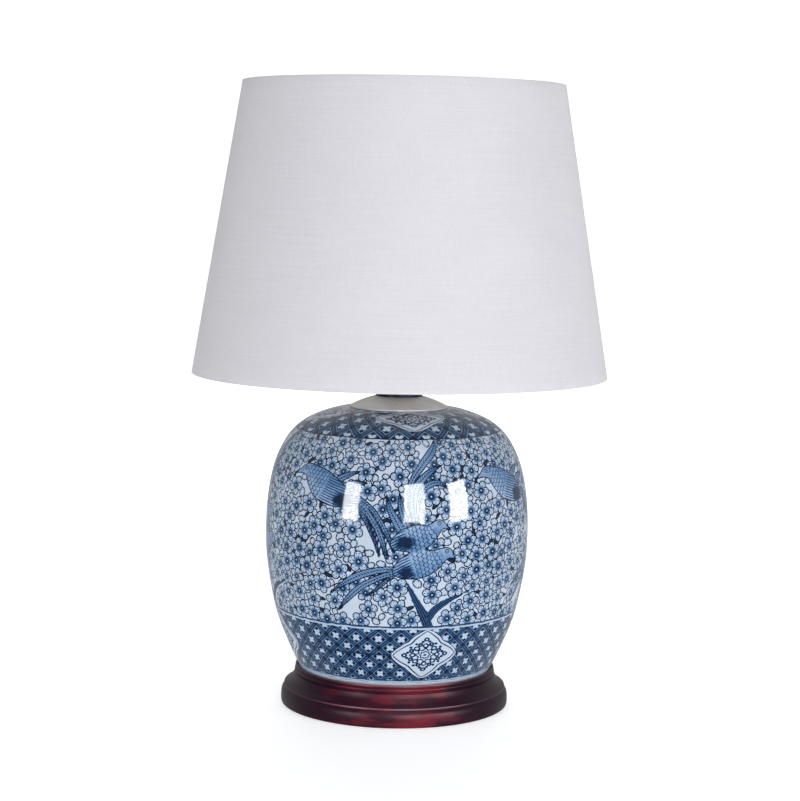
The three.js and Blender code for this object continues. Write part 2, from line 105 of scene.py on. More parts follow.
def smooth_line(points, steps):
    """Points along a Catmull-Rom line through the given ones, with so many steps on each stretch."""
    points = [np.array(point, float) for point in points]
    line = []
    for index in range(len(points) - 1):
        before = points[max(index - 1, 0)]
        start, end = points[index], points[index + 1]
        after = points[min(index + 2, len(points) - 1)]
        leave, arrive = (end - before) / 2, (after - start) / 2
        for step in range(steps):
            t = step / steps
            cubic = (2 * start - 2 * end + leave + arrive) * t ** 3
            square = (-3 * start + 3 * end - 2 * leave - arrive) * t ** 2
            line.append(tuple(cubic + square + leave * t + start))
    line.append(tuple(points[-1]))
    return line


CORNER_STEPS = 3
STRAIGHT = math.radians(168)    # a corner more open than this stays as it is


def rounded(points, radius, closed=True):
    """The outline with each real corner turned into a small curve."""
    count = len(points)
    result = []
    for index, corner in enumerate(points):
        if not closed and index in (0, count - 1):
            result.append(tuple(corner))
            continue
        corner = Vector(corner)
        back = Vector(points[index - 1]) - corner
        ahead = Vector(points[(index + 1) % count]) - corner
        opening = back.angle(ahead)
        if opening > STRAIGHT:
            result.append(tuple(corner))
            continue
        reach = min(radius / math.tan(opening / 2), 0.45 * back.length, 0.45 * ahead.length)
        start = corner + back.normalized() * reach
        end = corner + ahead.normalized() * reach
        for step in range(CORNER_STEPS + 1):
            t = step / CORNER_STEPS
            result.append(tuple(start * (1 - t) ** 2 + corner * 2 * t * (1 - t) + end * t ** 2))
    return result


def run_along(points):
    """How far along a line each of its points is."""
    return np.concatenate([[0], np.cumsum(np.hypot(*np.diff(np.array(points), axis=0).T))])


def inset(points, distance):
    """The line that runs inside an outline, nearer the axis, at a constant distance."""
    result = []
    for index, point in enumerate(points):
        before = points[max(index - 1, 0)]
        after = points[min(index + 1, len(points) - 1)]
        along = Vector((after[0] - before[0], after[1] - before[1])).normalized()
        result.append((max(point[0] - along.y * distance, 0), point[1] + along.x * distance))
    return result


# ---- Mesh makers

def make_mesh(vertices, faces, sharp_degrees=40):
    mesh = bpy.data.meshes.new("mesh")
    mesh.from_pydata([tuple(vertex) for vertex in vertices], [], faces)
    mesh.validate()
    mesh.shade_smooth()
    mesh.set_sharp_from_angle(angle=math.radians(sharp_degrees))
    return mesh


def turned(profile, segments=96, shape=None, centre=(0, 0), joined=True):
    """A solid turned about Z. The profile goes up the outside, and starts and ends on the axis or,
    unless joined is False, closes on itself. shape(angle, radius, height) may change a radius."""
    vertices, faces, rings = [], [], []
    for radius, height in profile:
        if radius < 1e-6:
            rings.append([len(vertices)] * segments)
            vertices.append((centre[0] * MM, centre[1] * MM, height * MM))
            continue
        rings.append(list(range(len(vertices), len(vertices) + segments)))
        for step in range(segments):
            angle = TAU * step / segments
            reach = shape(angle, radius, height) if shape else radius
            x = centre[0] + reach * math.sin(angle)
            y = centre[1] - reach * math.cos(angle)
            vertices.append((x * MM, y * MM, height * MM))
    pairs = list(zip(rings, rings[1:]))
    if joined and profile[0][0] > 1e-6:
        pairs.append((rings[-1], rings[0]))
    for under, over in pairs:
        for step in range(segments):
            after = (step + 1) % segments
            corners = [under[step], under[after], over[after], over[step]]
            corners = list(dict.fromkeys(corners))
            if len(corners) > 2:
                faces.append(corners)
    return make_mesh(vertices, faces)


def swept(path, radius, sides, closed=False):
    """A round wire along a path of points in mm."""
    path = [Vector(point) for point in path]
    count = len(path)
    vertices, faces = [], []
    side = None
    for index, point in enumerate(path):
        before = path[index - 1] if closed or index else point
        after = path[(index + 1) % count] if closed or index < count - 1 else point
        along = (after - before).normalized()
        if side is None:
            side = along.orthogonal().normalized()
        side = (side - along * side.dot(along)).normalized()
        other = along.cross(side)
        for step in range(sides):
            angle = TAU * step / sides
            spot = point + (side * math.cos(angle) + other * math.sin(angle)) * radius
            vertices.append(spot * MM)
    for index in range(count if closed else count - 1):
        here, there = index * sides, (index + 1) % count * sides
        for step in range(sides):
            after = (step + 1) % sides
            faces.append((here + step, here + after, there + after, there + step))
    if not closed:
        faces.append(tuple(reversed(range(sides))))
        faces.append(tuple(range((count - 1) * sides, count * sides)))
    return make_mesh(vertices, faces, sharp_degrees=50)


def cut_hole(mesh, radius, start, end):
    """Drills a round hole, from start to end in mm, through a mesh."""
    start, end = Vector(start) * MM, Vector(end) * MM
    place = Matrix.Translation((start + end) / 2)
    turn = (end - start).to_track_quat("Z", "Y").to_matrix().to_4x4()
    drill = bmesh.new()
    bmesh.ops.create_cone(drill, cap_ends=True, segments=48, radius1=radius * MM, radius2=radius * MM,
                          depth=(end - start).length, matrix=place @ turn)
    drill_mesh = bpy.data.meshes.new("drill")
    drill.to_mesh(drill_mesh)
    drill.free()
    tool, body = add_object("drill", drill_mesh), add_object("body", mesh)
    cut = body.modifiers.new("cut", "BOOLEAN")
    cut.operation = "DIFFERENCE"
    cut.solver = "EXACT"
    cut.object = tool
    bpy.context.view_layer.update()
    cut_body = body.evaluated_get(bpy.context.evaluated_depsgraph_get())
    result = bpy.data.meshes.new_from_object(cut_body)
    for thing in (tool, body):
        bpy.data.objects.remove(thing)
    result.shade_smooth()
    result.set_sharp_from_angle(angle=math.radians(40))
    return result


def piece(name, mesh, body, slot, node):
    """A finished piece: it rides on a body, takes a slot's finish and stands for a CAD node."""
    thing = add_object(name, mesh)
    mesh.name = name
    mesh.materials.clear()
    mesh.materials.append(FINISHES[slot])
    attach(thing, body)
    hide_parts(node)
    return thing


# ---- Node helpers

def colour(red, green, blue):
    """A screen colour, 0 to 255, as the linear colour that a shader takes."""
    def linear(value):
        value /= 255
        return value / 12.92 if value <= 0.04045 else ((value + 0.055) / 1.055) ** 2.4
    return (linear(red), linear(green), linear(blue), 1.0)


def feed(tree, slot, value):
    """Links a socket or a Number to an input, or sets the input to a plain value."""
    if isinstance(value, Number):
        value = value.socket
    if isinstance(value, bpy.types.NodeSocket):
        tree.links.new(value, slot)
    else:
        slot.default_value = value


def sum_of(operation):
    """A method that does one Math operation on a Number and whatever else it is given."""
    return lambda number, *others: number.math(operation, *others)


class Number:
    """A number in a node tree. Arithmetic on it adds Math nodes."""

    def __init__(self, tree, socket):
        self.tree = tree
        self.socket = socket

    def math(self, operation, *others, clamp=False):
        node = self.tree.nodes.new("ShaderNodeMath")
        node.operation = operation
        node.use_clamp = clamp
        for slot, value in zip(node.inputs, (self, *others)):
            feed(self.tree, slot, value)
        return Number(self.tree, node.outputs[0])

    __add__ = __radd__ = sum_of("ADD")
    __sub__ = sum_of("SUBTRACT")
    __mul__ = __rmul__ = sum_of("MULTIPLY")
    __truediv__ = sum_of("DIVIDE")
    __pow__ = sum_of("POWER")
    __abs__ = sum_of("ABSOLUTE")
    least = sum_of("MINIMUM")
    most = sum_of("MAXIMUM")
    root = sum_of("SQRT")
    sine = sum_of("SINE")
    cosine = sum_of("COSINE")
    bearing = sum_of("ARCTAN2")
    fraction = sum_of("FRACT")

    def __rsub__(self, other):
        return self.math("MULTIPLY_ADD", -1.0, other)

    def blend(self, other, share):
        """This where share is 0, and the other where it is 1."""
        if isinstance(other, Number):
            return (other - self).math("MULTIPLY_ADD", share, self)
        return (share * other) + self * (1.0 - share)

    def below(self, edge, soft=0.15):
        """1 where this is below edge and 0 above it, with a soft step."""
        return self.math("MULTIPLY_ADD", -1 / soft, edge / soft + 0.5, clamp=True)

    def near(self, value, reach, soft=0.15):
        """1 within reach of the value and 0 farther off, with a soft step."""
        return abs(self - value).below(reach, soft)

    def ramp(self, start, end):
        """0 at start, 1 at end, and straight between."""
        return self.math("MULTIPLY_ADD", 1 / (end - start), -start / (end - start), clamp=True)

    def fold(self, size):
        """The distance from the middle of the repeat that it is in, from -size/2 to size/2."""
        return self.math("WRAP", size / 2, -size / 2)


def length(across, up):
    return (across * across + up * up).root()


class Paint:
    """A material with one Principled shader, and short ways to add nodes to it."""

    def __init__(self, name, base, roughness, metallic=0.0, **sockets):
        self.material = bpy.data.materials.new(name)
        self.material.use_nodes = True
        self.material.diffuse_color = base
        self.tree = self.material.node_tree
        self.shader = self.tree.nodes["Principled BSDF"]
        self.set("Base Color", base)
        self.set("Roughness", roughness)
        self.set("Metallic", metallic)
        for socket, value in sockets.items():
            self.set(socket.replace("_", " "), value)

    def node(self, kind):
        return self.tree.nodes.new("ShaderNode" + kind)

    def set(self, socket, value):
        feed(self.tree, self.shader.inputs[socket], value)

    def place(self):
        """The object's own x, y and z, in mm."""
        node = self.node("TexCoord")
        split = self.node("SeparateXYZ")
        self.tree.links.new(node.outputs["Object"], split.inputs[0])
        return [Number(self.tree, output) * 1000.0 for output in split.outputs]

    def attribute(self, name, single=False):
        """A value stored on the mesh: three numbers, or a single one."""
        node = self.node("Attribute")
        node.attribute_name = name
        if single:
            return Number(self.tree, node.outputs["Fac"])
        split = self.node("SeparateXYZ")
        self.tree.links.new(node.outputs["Vector"], split.inputs[0])
        return [Number(self.tree, output) for output in split.outputs]

    def noise(self, spot, size, detail=3.0, roughness=0.5):
        """Noise from 0 to 1 at (x, y, z), with features of about the size in the spot's own units."""
        join = self.node("CombineXYZ")
        for slot, value in zip(join.inputs, spot):
            feed(self.tree, slot, value)
        node = self.node("TexNoise")
        self.tree.links.new(join.outputs[0], node.inputs["Vector"])
        node.inputs["Scale"].default_value = 1 / size
        node.inputs["Detail"].default_value = detail
        node.inputs["Roughness"].default_value = roughness
        return Number(self.tree, node.outputs["Fac"])

    def mix(self, first, second, share):
        """first where share is 0 and second where it is 1."""
        node = self.node("Mix")
        node.data_type = "RGBA"
        node.clamp_factor = True
        for number, value in ((0, share), (6, first), (7, second)):
            feed(self.tree, node.inputs[number], value)
        return node.outputs[2]

    def bump(self, height, distance):
        """Bumps as high as distance, in mm, where height is 1."""
        node = self.node("Bump")
        node.inputs["Strength"].default_value = 1.0
        node.inputs["Distance"].default_value = distance * MM
        self.tree.links.new(height.socket, node.inputs["Height"])
        self.tree.links.new(node.outputs[0], self.shader.inputs["Normal"])


# ---- Materials

def metal(name, base, dark, roughness, metallic=1.0):
    """Turned or drawn metal: fine rings round the axis, with faint handling marks."""
    base, dark = colour(*base), colour(*dark)
    paint = Paint(name, base, roughness, metallic)
    x, y, z = paint.place()
    radius = length(x, y)
    rings = paint.noise((radius * 8.0, z * 8.0, 0.0), 1.0, 2.0)
    marks = paint.noise((x, y, z), 9.0, 4.0, 0.6)
    paint.set("Base Color", paint.mix(dark, base, marks.ramp(0.25, 0.6)))
    paint.set("Roughness", (rings - 0.5) * 0.15 + (marks - 0.5) * 0.12 + roughness)
    paint.bump(rings, 0.01)
    return paint.material


def plain(name, base, other, roughness, size, bumps, **sockets):
    """A moulded, pressed or coated surface: mottled a little, and slightly uneven."""
    base, other = colour(*base), colour(*other)
    paint = Paint(name, base, roughness, **sockets)
    spot = paint.place()
    mottle = paint.noise(spot, size, 4.0, 0.6)
    fine = paint.noise(spot, size / 8, 2.0)
    paint.set("Base Color", paint.mix(other, base, mottle.ramp(0.3, 0.65)))
    paint.set("Roughness", (mottle - 0.5) * 0.15 + roughness)
    paint.bump(fine, bumps)
    return paint.material


RIDGE_HIGHLIGHT_HEIGHT = 15.7    # of the sharp ridge above the base's groove, where a painted highlight line runs


def lacquered_wood():
    """Dark red mahogany under a clear lacquer, its grain running along X. The left and right sides are
    painted darker and less red, as painted shade, and painted highlight lines run along two edges."""
    deep, red, warm = colour(32, 8, 30), colour(76, 10, 34), colour(136, 24, 42)
    paint = Paint("mahogany_lacquer", red, 0.4, Coat_Weight=0.16, Coat_Roughness=0.34, Coat_IOR=1.4,
                  Specular_IOR_Level=0.2)
    x, y, z = paint.place()
    sway = paint.noise((x * 0.02, y * 0.02, z * 0.02), 1.0, 2.0)
    streaks = paint.noise((x * 0.03, y * 0.6 + sway * 6.0, z * 0.6), 1.0, 5.0, 0.62)
    pores = paint.noise((x * 0.12, y * 4.0 + sway * 30.0, z * 4.0), 1.0, 3.0, 0.7)
    clouds = paint.noise((x * 0.55, y, z * 2.6), 24.0, 3.0)
    # Painted shade: the sides at plus and minus X are made darker and less red, and the warm figure is kept
    # off them, so the front and back look lit.
    painted_side_shade = (abs(x) / length(x, y)).ramp(0.25, 0.75)
    base = paint.mix(deep, red, (clouds * 0.9 + streaks * 0.7 - 0.25) * (1.0 - painted_side_shade * 0.85))
    base = paint.mix(base, warm, clouds.ramp(0.48, 0.6) * (streaks * 0.9 + 0.1) * (1.0 - painted_side_shade))
    base = paint.mix(base, deep, pores.ramp(0.58, 0.72) * 0.4)
    # Painted highlight: a pale line along the ridge above the groove and along the lip's top edge, streaked
    # with the grain and faded towards the sides.
    ridge_highlight = z.near(RIDGE_HIGHLIGHT_HEIGHT, 0.6, 0.4)
    lip_highlight = z.near(high("wooden_base"), 0.7, 0.5)
    painted_highlight = ridge_highlight.most(lip_highlight) * (streaks * 0.8 + 0.15) * (1.0 - painted_side_shade * 0.8)
    base = paint.mix(base, colour(156, 112, 126), painted_highlight)
    paint.set("Base Color", base)
    paint.set("Roughness", streaks * 0.2 + 0.3)
    paint.bump(pores, 0.02)
    return paint.material


THREAD = 0.42              # mm from one thread of the linen to the next
WEAVE_RADIUS = 155.0       # of the shade, halfway up


def linen_cloth():
    """Fine slubby cloth. Threads run round the cone and up it."""
    pale, shadow = colour(226, 224, 229), colour(210, 208, 214)
    paint = Paint("shade_linen", pale, 0.92, Sheen_Weight=0.25, Sheen_Roughness=0.5)
    x, y, z = paint.place()
    across = x.bearing(y * -1.0) * WEAVE_RADIUS
    weft = (z * (TAU / THREAD)).sine()
    warp = (across * (TAU / THREAD)).sine()
    slub_weft = paint.noise((x * 0.02, y * 0.02, z * 2.2), 1.0, 3.0, 0.6)
    slub_warp = paint.noise((x * 1.1, y * 1.1, z * 0.012), 1.0, 3.0, 0.6)
    mottle = paint.noise((x, y, z), 40.0, 3.0)
    tone = slub_weft.ramp(0.3, 0.72) * 0.5 + slub_warp.ramp(0.3, 0.72) * 0.35
    tone = tone + mottle.ramp(0.3, 0.7) * 0.15
    paint.set("Base Color", paint.mix(shadow, pale, tone))
    paint.set("Roughness", mottle * 0.1 + 0.85)
    paint.bump(weft * 0.25 + warp * 0.25 + slub_weft * 0.6 + slub_warp * 0.4, 0.10)
    return paint.material


def felt_cloth():
    paint = Paint("green_felt", colour(40, 58, 44), 0.95, Sheen_Weight=0.5, Sheen_Roughness=0.6)
    spot = paint.place()
    fibres = paint.noise(spot, 0.6, 4.0, 0.7)
    clouds = paint.noise(spot, 14.0, 3.0)
    paint.set("Base Color", paint.mix(colour(28, 42, 32), colour(52, 74, 56), fibres * 0.6 + clouds * 0.4))
    paint.set("Roughness", clouds * 0.08 + 0.9)
    paint.bump(fibres, 0.25)
    return paint.material


FINISHES = {
    "mahogany": lacquered_wood(),
    "felt": felt_cloth(),
    "shade_linen": linen_cloth(),
    "satin_nickel": metal("satin_nickel", (236, 234, 235), (222, 220, 222), 0.5, metallic=0.65),
    "brass": metal("satin_brass", (205, 172, 108), (176, 142, 84), 0.28),
    "zinc_steel": metal("zinc_plate", (188, 191, 194), (160, 163, 168), 0.34),
    "dark_bronze": metal("dark_bronze", (48, 44, 62), (38, 34, 50), 0.36),
    "rubber": plain("black_rubber", (34, 34, 36), (26, 26, 28), 0.75, 12.0, 0.05),
    "phenolic": plain("black_phenolic", (32, 28, 27), (24, 21, 20), 0.3, 10.0, 0.02),
    "insulating_card": plain("brown_card", (176, 146, 104), (150, 122, 84), 0.85, 8.0, 0.08),
    "black_glass": plain("black_glass", (18, 18, 21), (12, 12, 14), 0.12, 6.0, 0.01),
    "frosted_glass": plain("frosted_glass", (242, 242, 240), (234, 234, 233), 0.38, 18.0, 0.01,
                           Coat_Weight=0.4, Coat_Roughness=0.25),
    "clear_glass": plain("stem_glass", (222, 230, 230), (206, 216, 216), 0.08, 8.0, 0.01),
    "shade_styrene": plain("white_styrene", (240, 238, 233), (231, 229, 224), 0.42, 30.0, 0.03),
    "coated_wire": plain("white_powder_coat", (228, 227, 222), (214, 213, 208), 0.4, 6.0, 0.06),
}


# ---- Wooden base

BASE_SEAT_RADIUS = 83.3
BASE_SEAT_HEIGHT = 30.0
ROD_HOLE_RADIUS = 5.3
BASE_POCKET_RADIUS = 60.0
BASE_SKIRT_RADIUS = 91.3
INLET_HEIGHT = 8.0
INLET_HOLE_RADIUS = 4.9


def wooden_base():
    bottom, top, reach = span("wooden_base")
    underside, ceiling = high("felt_pad") + GAP, high("base_washer") + GAP
    torus = smooth_line([(95.4, bottom), (96.3, 0.9), (reach - 0.1, 2.6), (reach, 6.2),
                         (reach - 0.2, 9.4), (95.8, 12.2), (94.3, 13.9)], 6)
    quirk = rounded([(94.3, 13.9), (93.7, 14.6), (94.5, 15.1), (94.2, 16.3), (93.1, 16.7)], 0.3,
                    closed=False)
    cove = smooth_line([(92.8, 16.8), (89.6, 19.1), (87.1, 22.2), (85.6, 26.0)], 6)
    bead = smooth_line([(84.6, 26.3), (84.3, 26.8), (85.2, 28.0), (85.1, 29.5), (84.4, 30.3)], 4)
    lip = rounded([(84.2, 30.6), (84.8, 31.4), (84.4, top), (BASE_SEAT_RADIUS, top)], 0.4, closed=False)
    inside = [(BASE_SEAT_RADIUS, BASE_SEAT_HEIGHT), (ROD_HOLE_RADIUS, BASE_SEAT_HEIGHT),
              (ROD_HOLE_RADIUS, ceiling), (BASE_POCKET_RADIUS, ceiling), (BASE_POCKET_RADIUS, underside),
              (BASE_SKIRT_RADIUS, underside), (BASE_SKIRT_RADIUS, bottom)]
    mesh = turned(torus + quirk[1:] + cove + bead + lip + inside, 192)
    return cut_hole(mesh, INLET_HOLE_RADIUS, (0, 50, INLET_HEIGHT), (0, 110, INLET_HEIGHT))


def base_felt():
    bottom, top, reach = span("felt_pad")
    profile = rounded([(0, bottom), (reach, bottom), (reach, top), (0, top)], 0.5, closed=False)
    return turned(profile, 128)


def inlet_bush():
    """The rubber bush in the back of the base, turned about Z and laid along +Y."""
    start, end = [corner[1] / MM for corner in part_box("inlet_bush")]
    flange = end - 1.8
    profile = [(3.6, start), (4.6, start), (4.6, flange), (6.6, flange), (6.4, end), (3.6, end)]
    mesh = turned(rounded(profile, 0.6), 48)
    mesh.transform(Matrix.Translation((0, 0, INLET_HEIGHT * MM)) @ Matrix.Rotation(-math.pi / 2, 4, "X"))
    return mesh


piece("base_turning", wooden_base(), "stand", "mahogany", "wooden_base")
piece("base_felt", base_felt(), "stand", "felt", "felt_pad")
piece("flex_inlet_bush", inlet_bush(), "stand", "rubber", "inlet_bush")


# ---- Jar

JAR_OUTLINE = [
    (82, 33), (91, 52), (100.5, 76), (106.2, 100), (110.2, 126), (111.2, 152), (109.8, 178),
    (105.5, 202), (98.5, 220), (89, 234), (75.5, 244), (57, 251), (42, 253.6),
]
JAR_WALL = 5.0
JAR_SEGMENTS = 400       # a multiple of four, for the painting's repeat


def jar_mesh():
    wall = smooth_line(JAR_OUTLINE, 13)
    foot = smooth_line([(74, low("porcelain_jar")), (80.6, low("porcelain_jar")), (81.6, 31.4)], 3)
    lip = smooth_line([(38.5, 253.9), (34.2, 253.2), (33, 251.6), (33, 249)], 4)
    inside = [spot for spot in inset(wall, JAR_WALL)[::6] if spot[0] > 36 and spot[1] > 42]
    floor = [(75, 39), (6.3, 39), (6.3, 34), (73, 34)]
    mesh = turned(wall + lip + inside[::-1] + floor + foot, JAR_SEGMENTS)
    heights = run_along(wall)
    list_strokes(mesh, JAR_SEGMENTS, heights)
    list_flowers(mesh, JAR_SEGMENTS, (heights[1:] + heights[:-1]) / 2)
    return mesh


# ---- Painting on the jar
# Everything is laid out on the unrolled wall: x in mm is the angle from the front times
# PAINT_RADIUS, and v in mm is the height up along the wall. The painting repeats each quarter turn.

PAINT_RADIUS = 108.0
QUARTER = PAINT_RADIUS * math.pi / 2
DEGREE = PAINT_RADIUS * math.radians(1)
FIELD_LOW, FIELD_HIGH = 57.0, 214.0
PAINT_SLOTS = 4

# Strokes go from the thick end to the tip, as (degrees, v, half width).
BRANCHES = [
    [(15, 56, 4.4), (12.5, 67, 3.8), (9, 79, 2.8), (4, 96, 1.2)],
    [(14, 63, 3.2), (18, 73, 3.2), (25, 81, 2.2), (32, 86, 1.2)],
    [(-47, 96, 2.2), (-43, 106, 2.6), (-36, 120, 1.8), (-33, 134, 1.9), (-31, 150, 0.9)],
    [(-22, 171, 1.6), (-15, 179, 2.4), (-8, 190, 1.5), (-6, 200, 0.8)],
    [(36, 104, 1.4), (44, 118, 2.2), (50, 128, 1.8), (59, 146, 0.9)],
    [(28, 160, 1.0), (31, 176, 1.6), (36, 186, 1.2), (39, 203, 0.7)],
]
PLUMES = [
    [(-17, 163, 2.2), (-10, 153, 2.0), (-5, 138, 2.0), (-1, 121, 1.3)],
    [(-18, 161, 2.0), (-12, 150, 2.2), (-7, 134, 2.3), (-4, 116, 1.6)],
    [(-18, 159, 1.8), (-14, 148, 1.7), (-9.5, 131, 1.6), (-7, 117, 1.0)],
    [(1, 107, 2.0), (-8, 105, 2.6), (-18, 98, 3.0), (-29, 84, 0.8)],
    [(1, 104, 1.8), (-6, 100, 2.2), (-14, 92, 2.6), (-20, 82, 2.4), (-26, 69, 0.6)],
    [(0, 103, 1.3), (-5, 95, 1.4), (-9, 88, 1.2), (-13, 83, 0.5)],
    [(3, 134, 3.4), (0, 144, 3.2), (-3, 155, 2.4), (-4.5, 166, 0.5)],
    [(5, 138, 2.6), (3, 148, 2.8), (1.5, 158, 2.2), (1, 168, 0.5)],
    [(8, 142, 1.7), (7, 158, 2.4), (8, 172, 3.0), (14, 184, 2.6), (20, 190, 0.5)],
    [(9, 142, 1.3), (9, 160, 1.6), (12, 172, 2.6), (18, 176, 2.2), (23, 170, 0.6)],
    [(7, 142, 1.1), (5, 160, 1.5), (6, 176, 2.2), (11, 190, 3.2), (17, 203, 3.6), (19, 211, 0.8)],
    [(-30, 166, 3.6), (-25, 170, 3.4), (-19, 174, 2.4), (-13, 175, 0.5)],
    [(-31, 170, 3.0), (-27, 176, 3.0), (-22, 181, 2.2), (-17, 184, 0.5)],
]
BODIES = [
    [(-18, 160, 3.2), (-22, 161, 6.0), (-28, 165, 10.5), (-34, 170, 12.5), (-39, 176, 9.5), (-43, 181, 6.0),
     (-46, 182, 4.4), (-49, 180, 2.0), (-53, 177.5, 0.4)],
    [(1, 105, 5.0), (5, 108, 9.5), (10, 111, 11.5), (15, 113, 8.5), (18.5, 117, 5.8), (21.5, 119, 4.6),
     (23.5, 117, 2.0), (26, 112, 0.4)],
    [(0, 127, 5.0), (4, 130, 9.0), (9, 132, 10.5), (13, 134.5, 7.5), (16, 139, 5.4), (18, 142, 4.4),
     (20.5, 141, 1.8), (23.5, 137, 0.4)],
]
EYES = [(-46, 183), (21.5, 120.5), (18, 143.5)]
RUMPS = [(-24, 160, 6.0), (4, 103.5, 4.5), (3.5, 128, 5.5)]    # dark patches: degrees, v, radius
OPEN_GROUND = [(-12, 132, 9), (-8, 118, 8), (-20, 73, 9), (5, 84, 7), (-44, 170, 8), (12, 200, 8),
               (-11, 160, 5), (-5, 62, 5), (7, 95, 6), (26, 130, 5)]    # degrees, v, radius


# How many tries, the radius and its share of spread, and the room kept to flowers, birds and bare
# ground, for each pass. A bud's radius is negative, and a small one is a dark leaf.
LEAF_BELOW = 2.7
FLOWER_PASSES = [
    (1500, 8.3, 0.05, 15.4, 3.0, 4.0),
    (2500, 7.8, 0.06, 11.2, 1.0, 4.5),
    (3500, -3.5, 0.2, 9.2, 2.0, -2.5),
    (1300, -2.2, 0.15, 8.0, 1.5, 2.0),
]


def flat(points):
    """Stroke points with the degrees turned into mm."""
    return [(degrees * DEGREE, v, half_width) for degrees, v, half_width in points]


def stroke_field(strokes, x, v):
    """The signed distance to the nearest stroke's edge, the way left to its tip, and the offset
    from its middle line, at each point."""
    best = np.full(x.shape, 1e3)
    to_tip, aside = np.zeros(x.shape), np.zeros(x.shape)
    for points in strokes:
        line = np.array(smooth_line(flat(points), 9))
        run = run_along(line[:, :2])
        tangents = np.gradient(line[:, :2], axis=0)
        tangents /= np.hypot(*tangents.T)[:, None]
        for shift in (-QUARTER, 0, QUARTER):
            across = x[:, None] - line[None, :, 0] - shift
            up = v[:, None] - line[None, :, 1]
            gap = np.hypot(across, up) - line[None, :, 2]
            pick = gap.argmin(axis=1)
            rows = np.arange(len(x))
            gap, across, up = gap[rows, pick], across[rows, pick], up[rows, pick]
            nearer = gap < best
            ahead = across * tangents[pick, 0] + up * tangents[pick, 1]
            best = np.where(nearer, gap, best)
            to_tip = np.where(nearer, run[-1] - run[pick] - ahead, to_tip)
            aside = np.where(nearer, up * tangents[pick, 0] - across * tangents[pick, 1], aside)
    return np.stack([best, to_tip, aside], axis=1)


def lay_out_flowers():
    """Blossoms that hardly touch, more of them behind, then buds in the gaps. Each is
    (x, v, turn, radius), the top ones first, and a bud's radius is negative."""
    chance = np.random.default_rng(11)
    ground = np.array(OPEN_GROUND, float)
    ground[:, 0] *= DEGREE
    placed = np.zeros((0, 4))
    for tries, radius, spread, gap, bird_gap, ground_gap in FLOWER_PASSES:
        x = chance.uniform(-QUARTER / 2, QUARTER / 2, tries)
        v = chance.uniform(FIELD_LOW + 3, FIELD_HIGH - 3, tries)
        turn = chance.uniform(0, TAU, tries)
        size = chance.uniform(1 - spread, 1 + spread, tries) * radius
        off_birds = stroke_field(BODIES + PLUMES, x, v)[:, 0] > bird_gap
        off_ground = turn_distance(x, v, ground[:, 0], ground[:, 1]) > ground[:, 2] + ground_gap
        off_fork = stroke_field(BRANCHES[:2], x, v)[:, 0] > bird_gap + 2
        for spot in np.stack([x, v, turn, size], axis=1)[off_birds & off_ground.all(axis=1) & off_fork]:
            far = turn_distance(spot[:1], spot[1:2], placed[:, 0], placed[:, 1])[0]
            if (far > np.where(placed[:, 3] > 0, gap, gap / 2 + 2)).all():
                placed = np.vstack([placed, spot])
    return placed


def turn_distance(x, v, other_x, other_v):
    """Distances from each point to each other one, with the painting's repeat taken in."""
    across = (x[:, None] - other_x[None, :] + QUARTER / 2) % QUARTER - QUARTER / 2
    return np.hypot(across, v[:, None] - other_v[None, :])


# ---- Painted glaze

LATTICE_LOW = (34, 46.0, 17.0, 3.0)      # cells round, the v of one row, a cell's height, degrees
LATTICE_HIGH = (24, 226.5, 23.0, -7.0)
MEDALLION_LOW = (15.0, 31.0, 27.5, 23.5)  # degrees, v, half width, half height
MEDALLION_HIGH = (10.0, 243.5, 30.0, 20.5)
# Loops round the medallion's middle: how many, the share of a step they are turned by, how far
# out, their radius and half their line's width, as shares of the medallion's half height.
MEDALLION_LOOPS = [(8, 0, 0.375, 0.07, 0.024), (8, 0.5, 0.45, 0.05, 0.03), (16, 0.5, 0.54, 0.022, 0.024),
                   (4, 0, 0.62, 0.06, 0.028)]
FOOT_RIM = 2.6
# Rings round the jar: v, half their width, ink
PAINTED_RINGS = [(FIELD_LOW - 1.6, 0.8, 0.16), (FIELD_LOW, 0.75, 0.78), (FIELD_HIGH, 0.6, 0.9),
                 (FOOT_RIM + 2.2, 0.45, 0.85), (FOOT_RIM + 1.0, 0.8, 0.2)]
PETAL_OUT = 0.62         # from the flower's middle to a petal's, as a share of the flower's radius
PETAL_RADIUS = 0.385
HEART_RADIUS = 0.5
OUTLINE = 0.48           # mm, half the width of the line round a flower
FLOWER_REACH = 1.6       # how far past its radius a flower is listed, for the size of a face
BUD_REACH = 2.9          # the same for a bud or a leaf, which may be longer than its radius
INK_COLOURS = [
    (0.0, (202, 210, 223)), (0.18, (168, 190, 215)), (0.4, (108, 143, 184)), (0.62, (55, 94, 136)),
    (0.82, (20, 46, 80)), (1.0, (4, 14, 34)),
]


def store(mesh, name, domain, rows, values, rest):
    """Stores values, given for a quarter of the wall, all round it, and rest on all that isn't wall."""
    width = len(rest)
    values = np.tile(values.reshape(rows, -1, width), (1, 4, 1)).reshape(-1, width)
    count = len(mesh.vertices if domain == "POINT" else mesh.polygons)
    full = np.concatenate([values, np.tile(rest, (count - len(values), 1))]).astype(np.float32)
    layer = mesh.attributes.new(name, "FLOAT" if width == 1 else "FLOAT_VECTOR", domain)
    layer.data.foreach_set("value" if width == 1 else "vector", full.ravel())


NO_FLOWER = (0, -1000, 0, 1)       # x, v, turn, radius of an empty slot
OFF_WALL = -10                     # stored where there is no wall


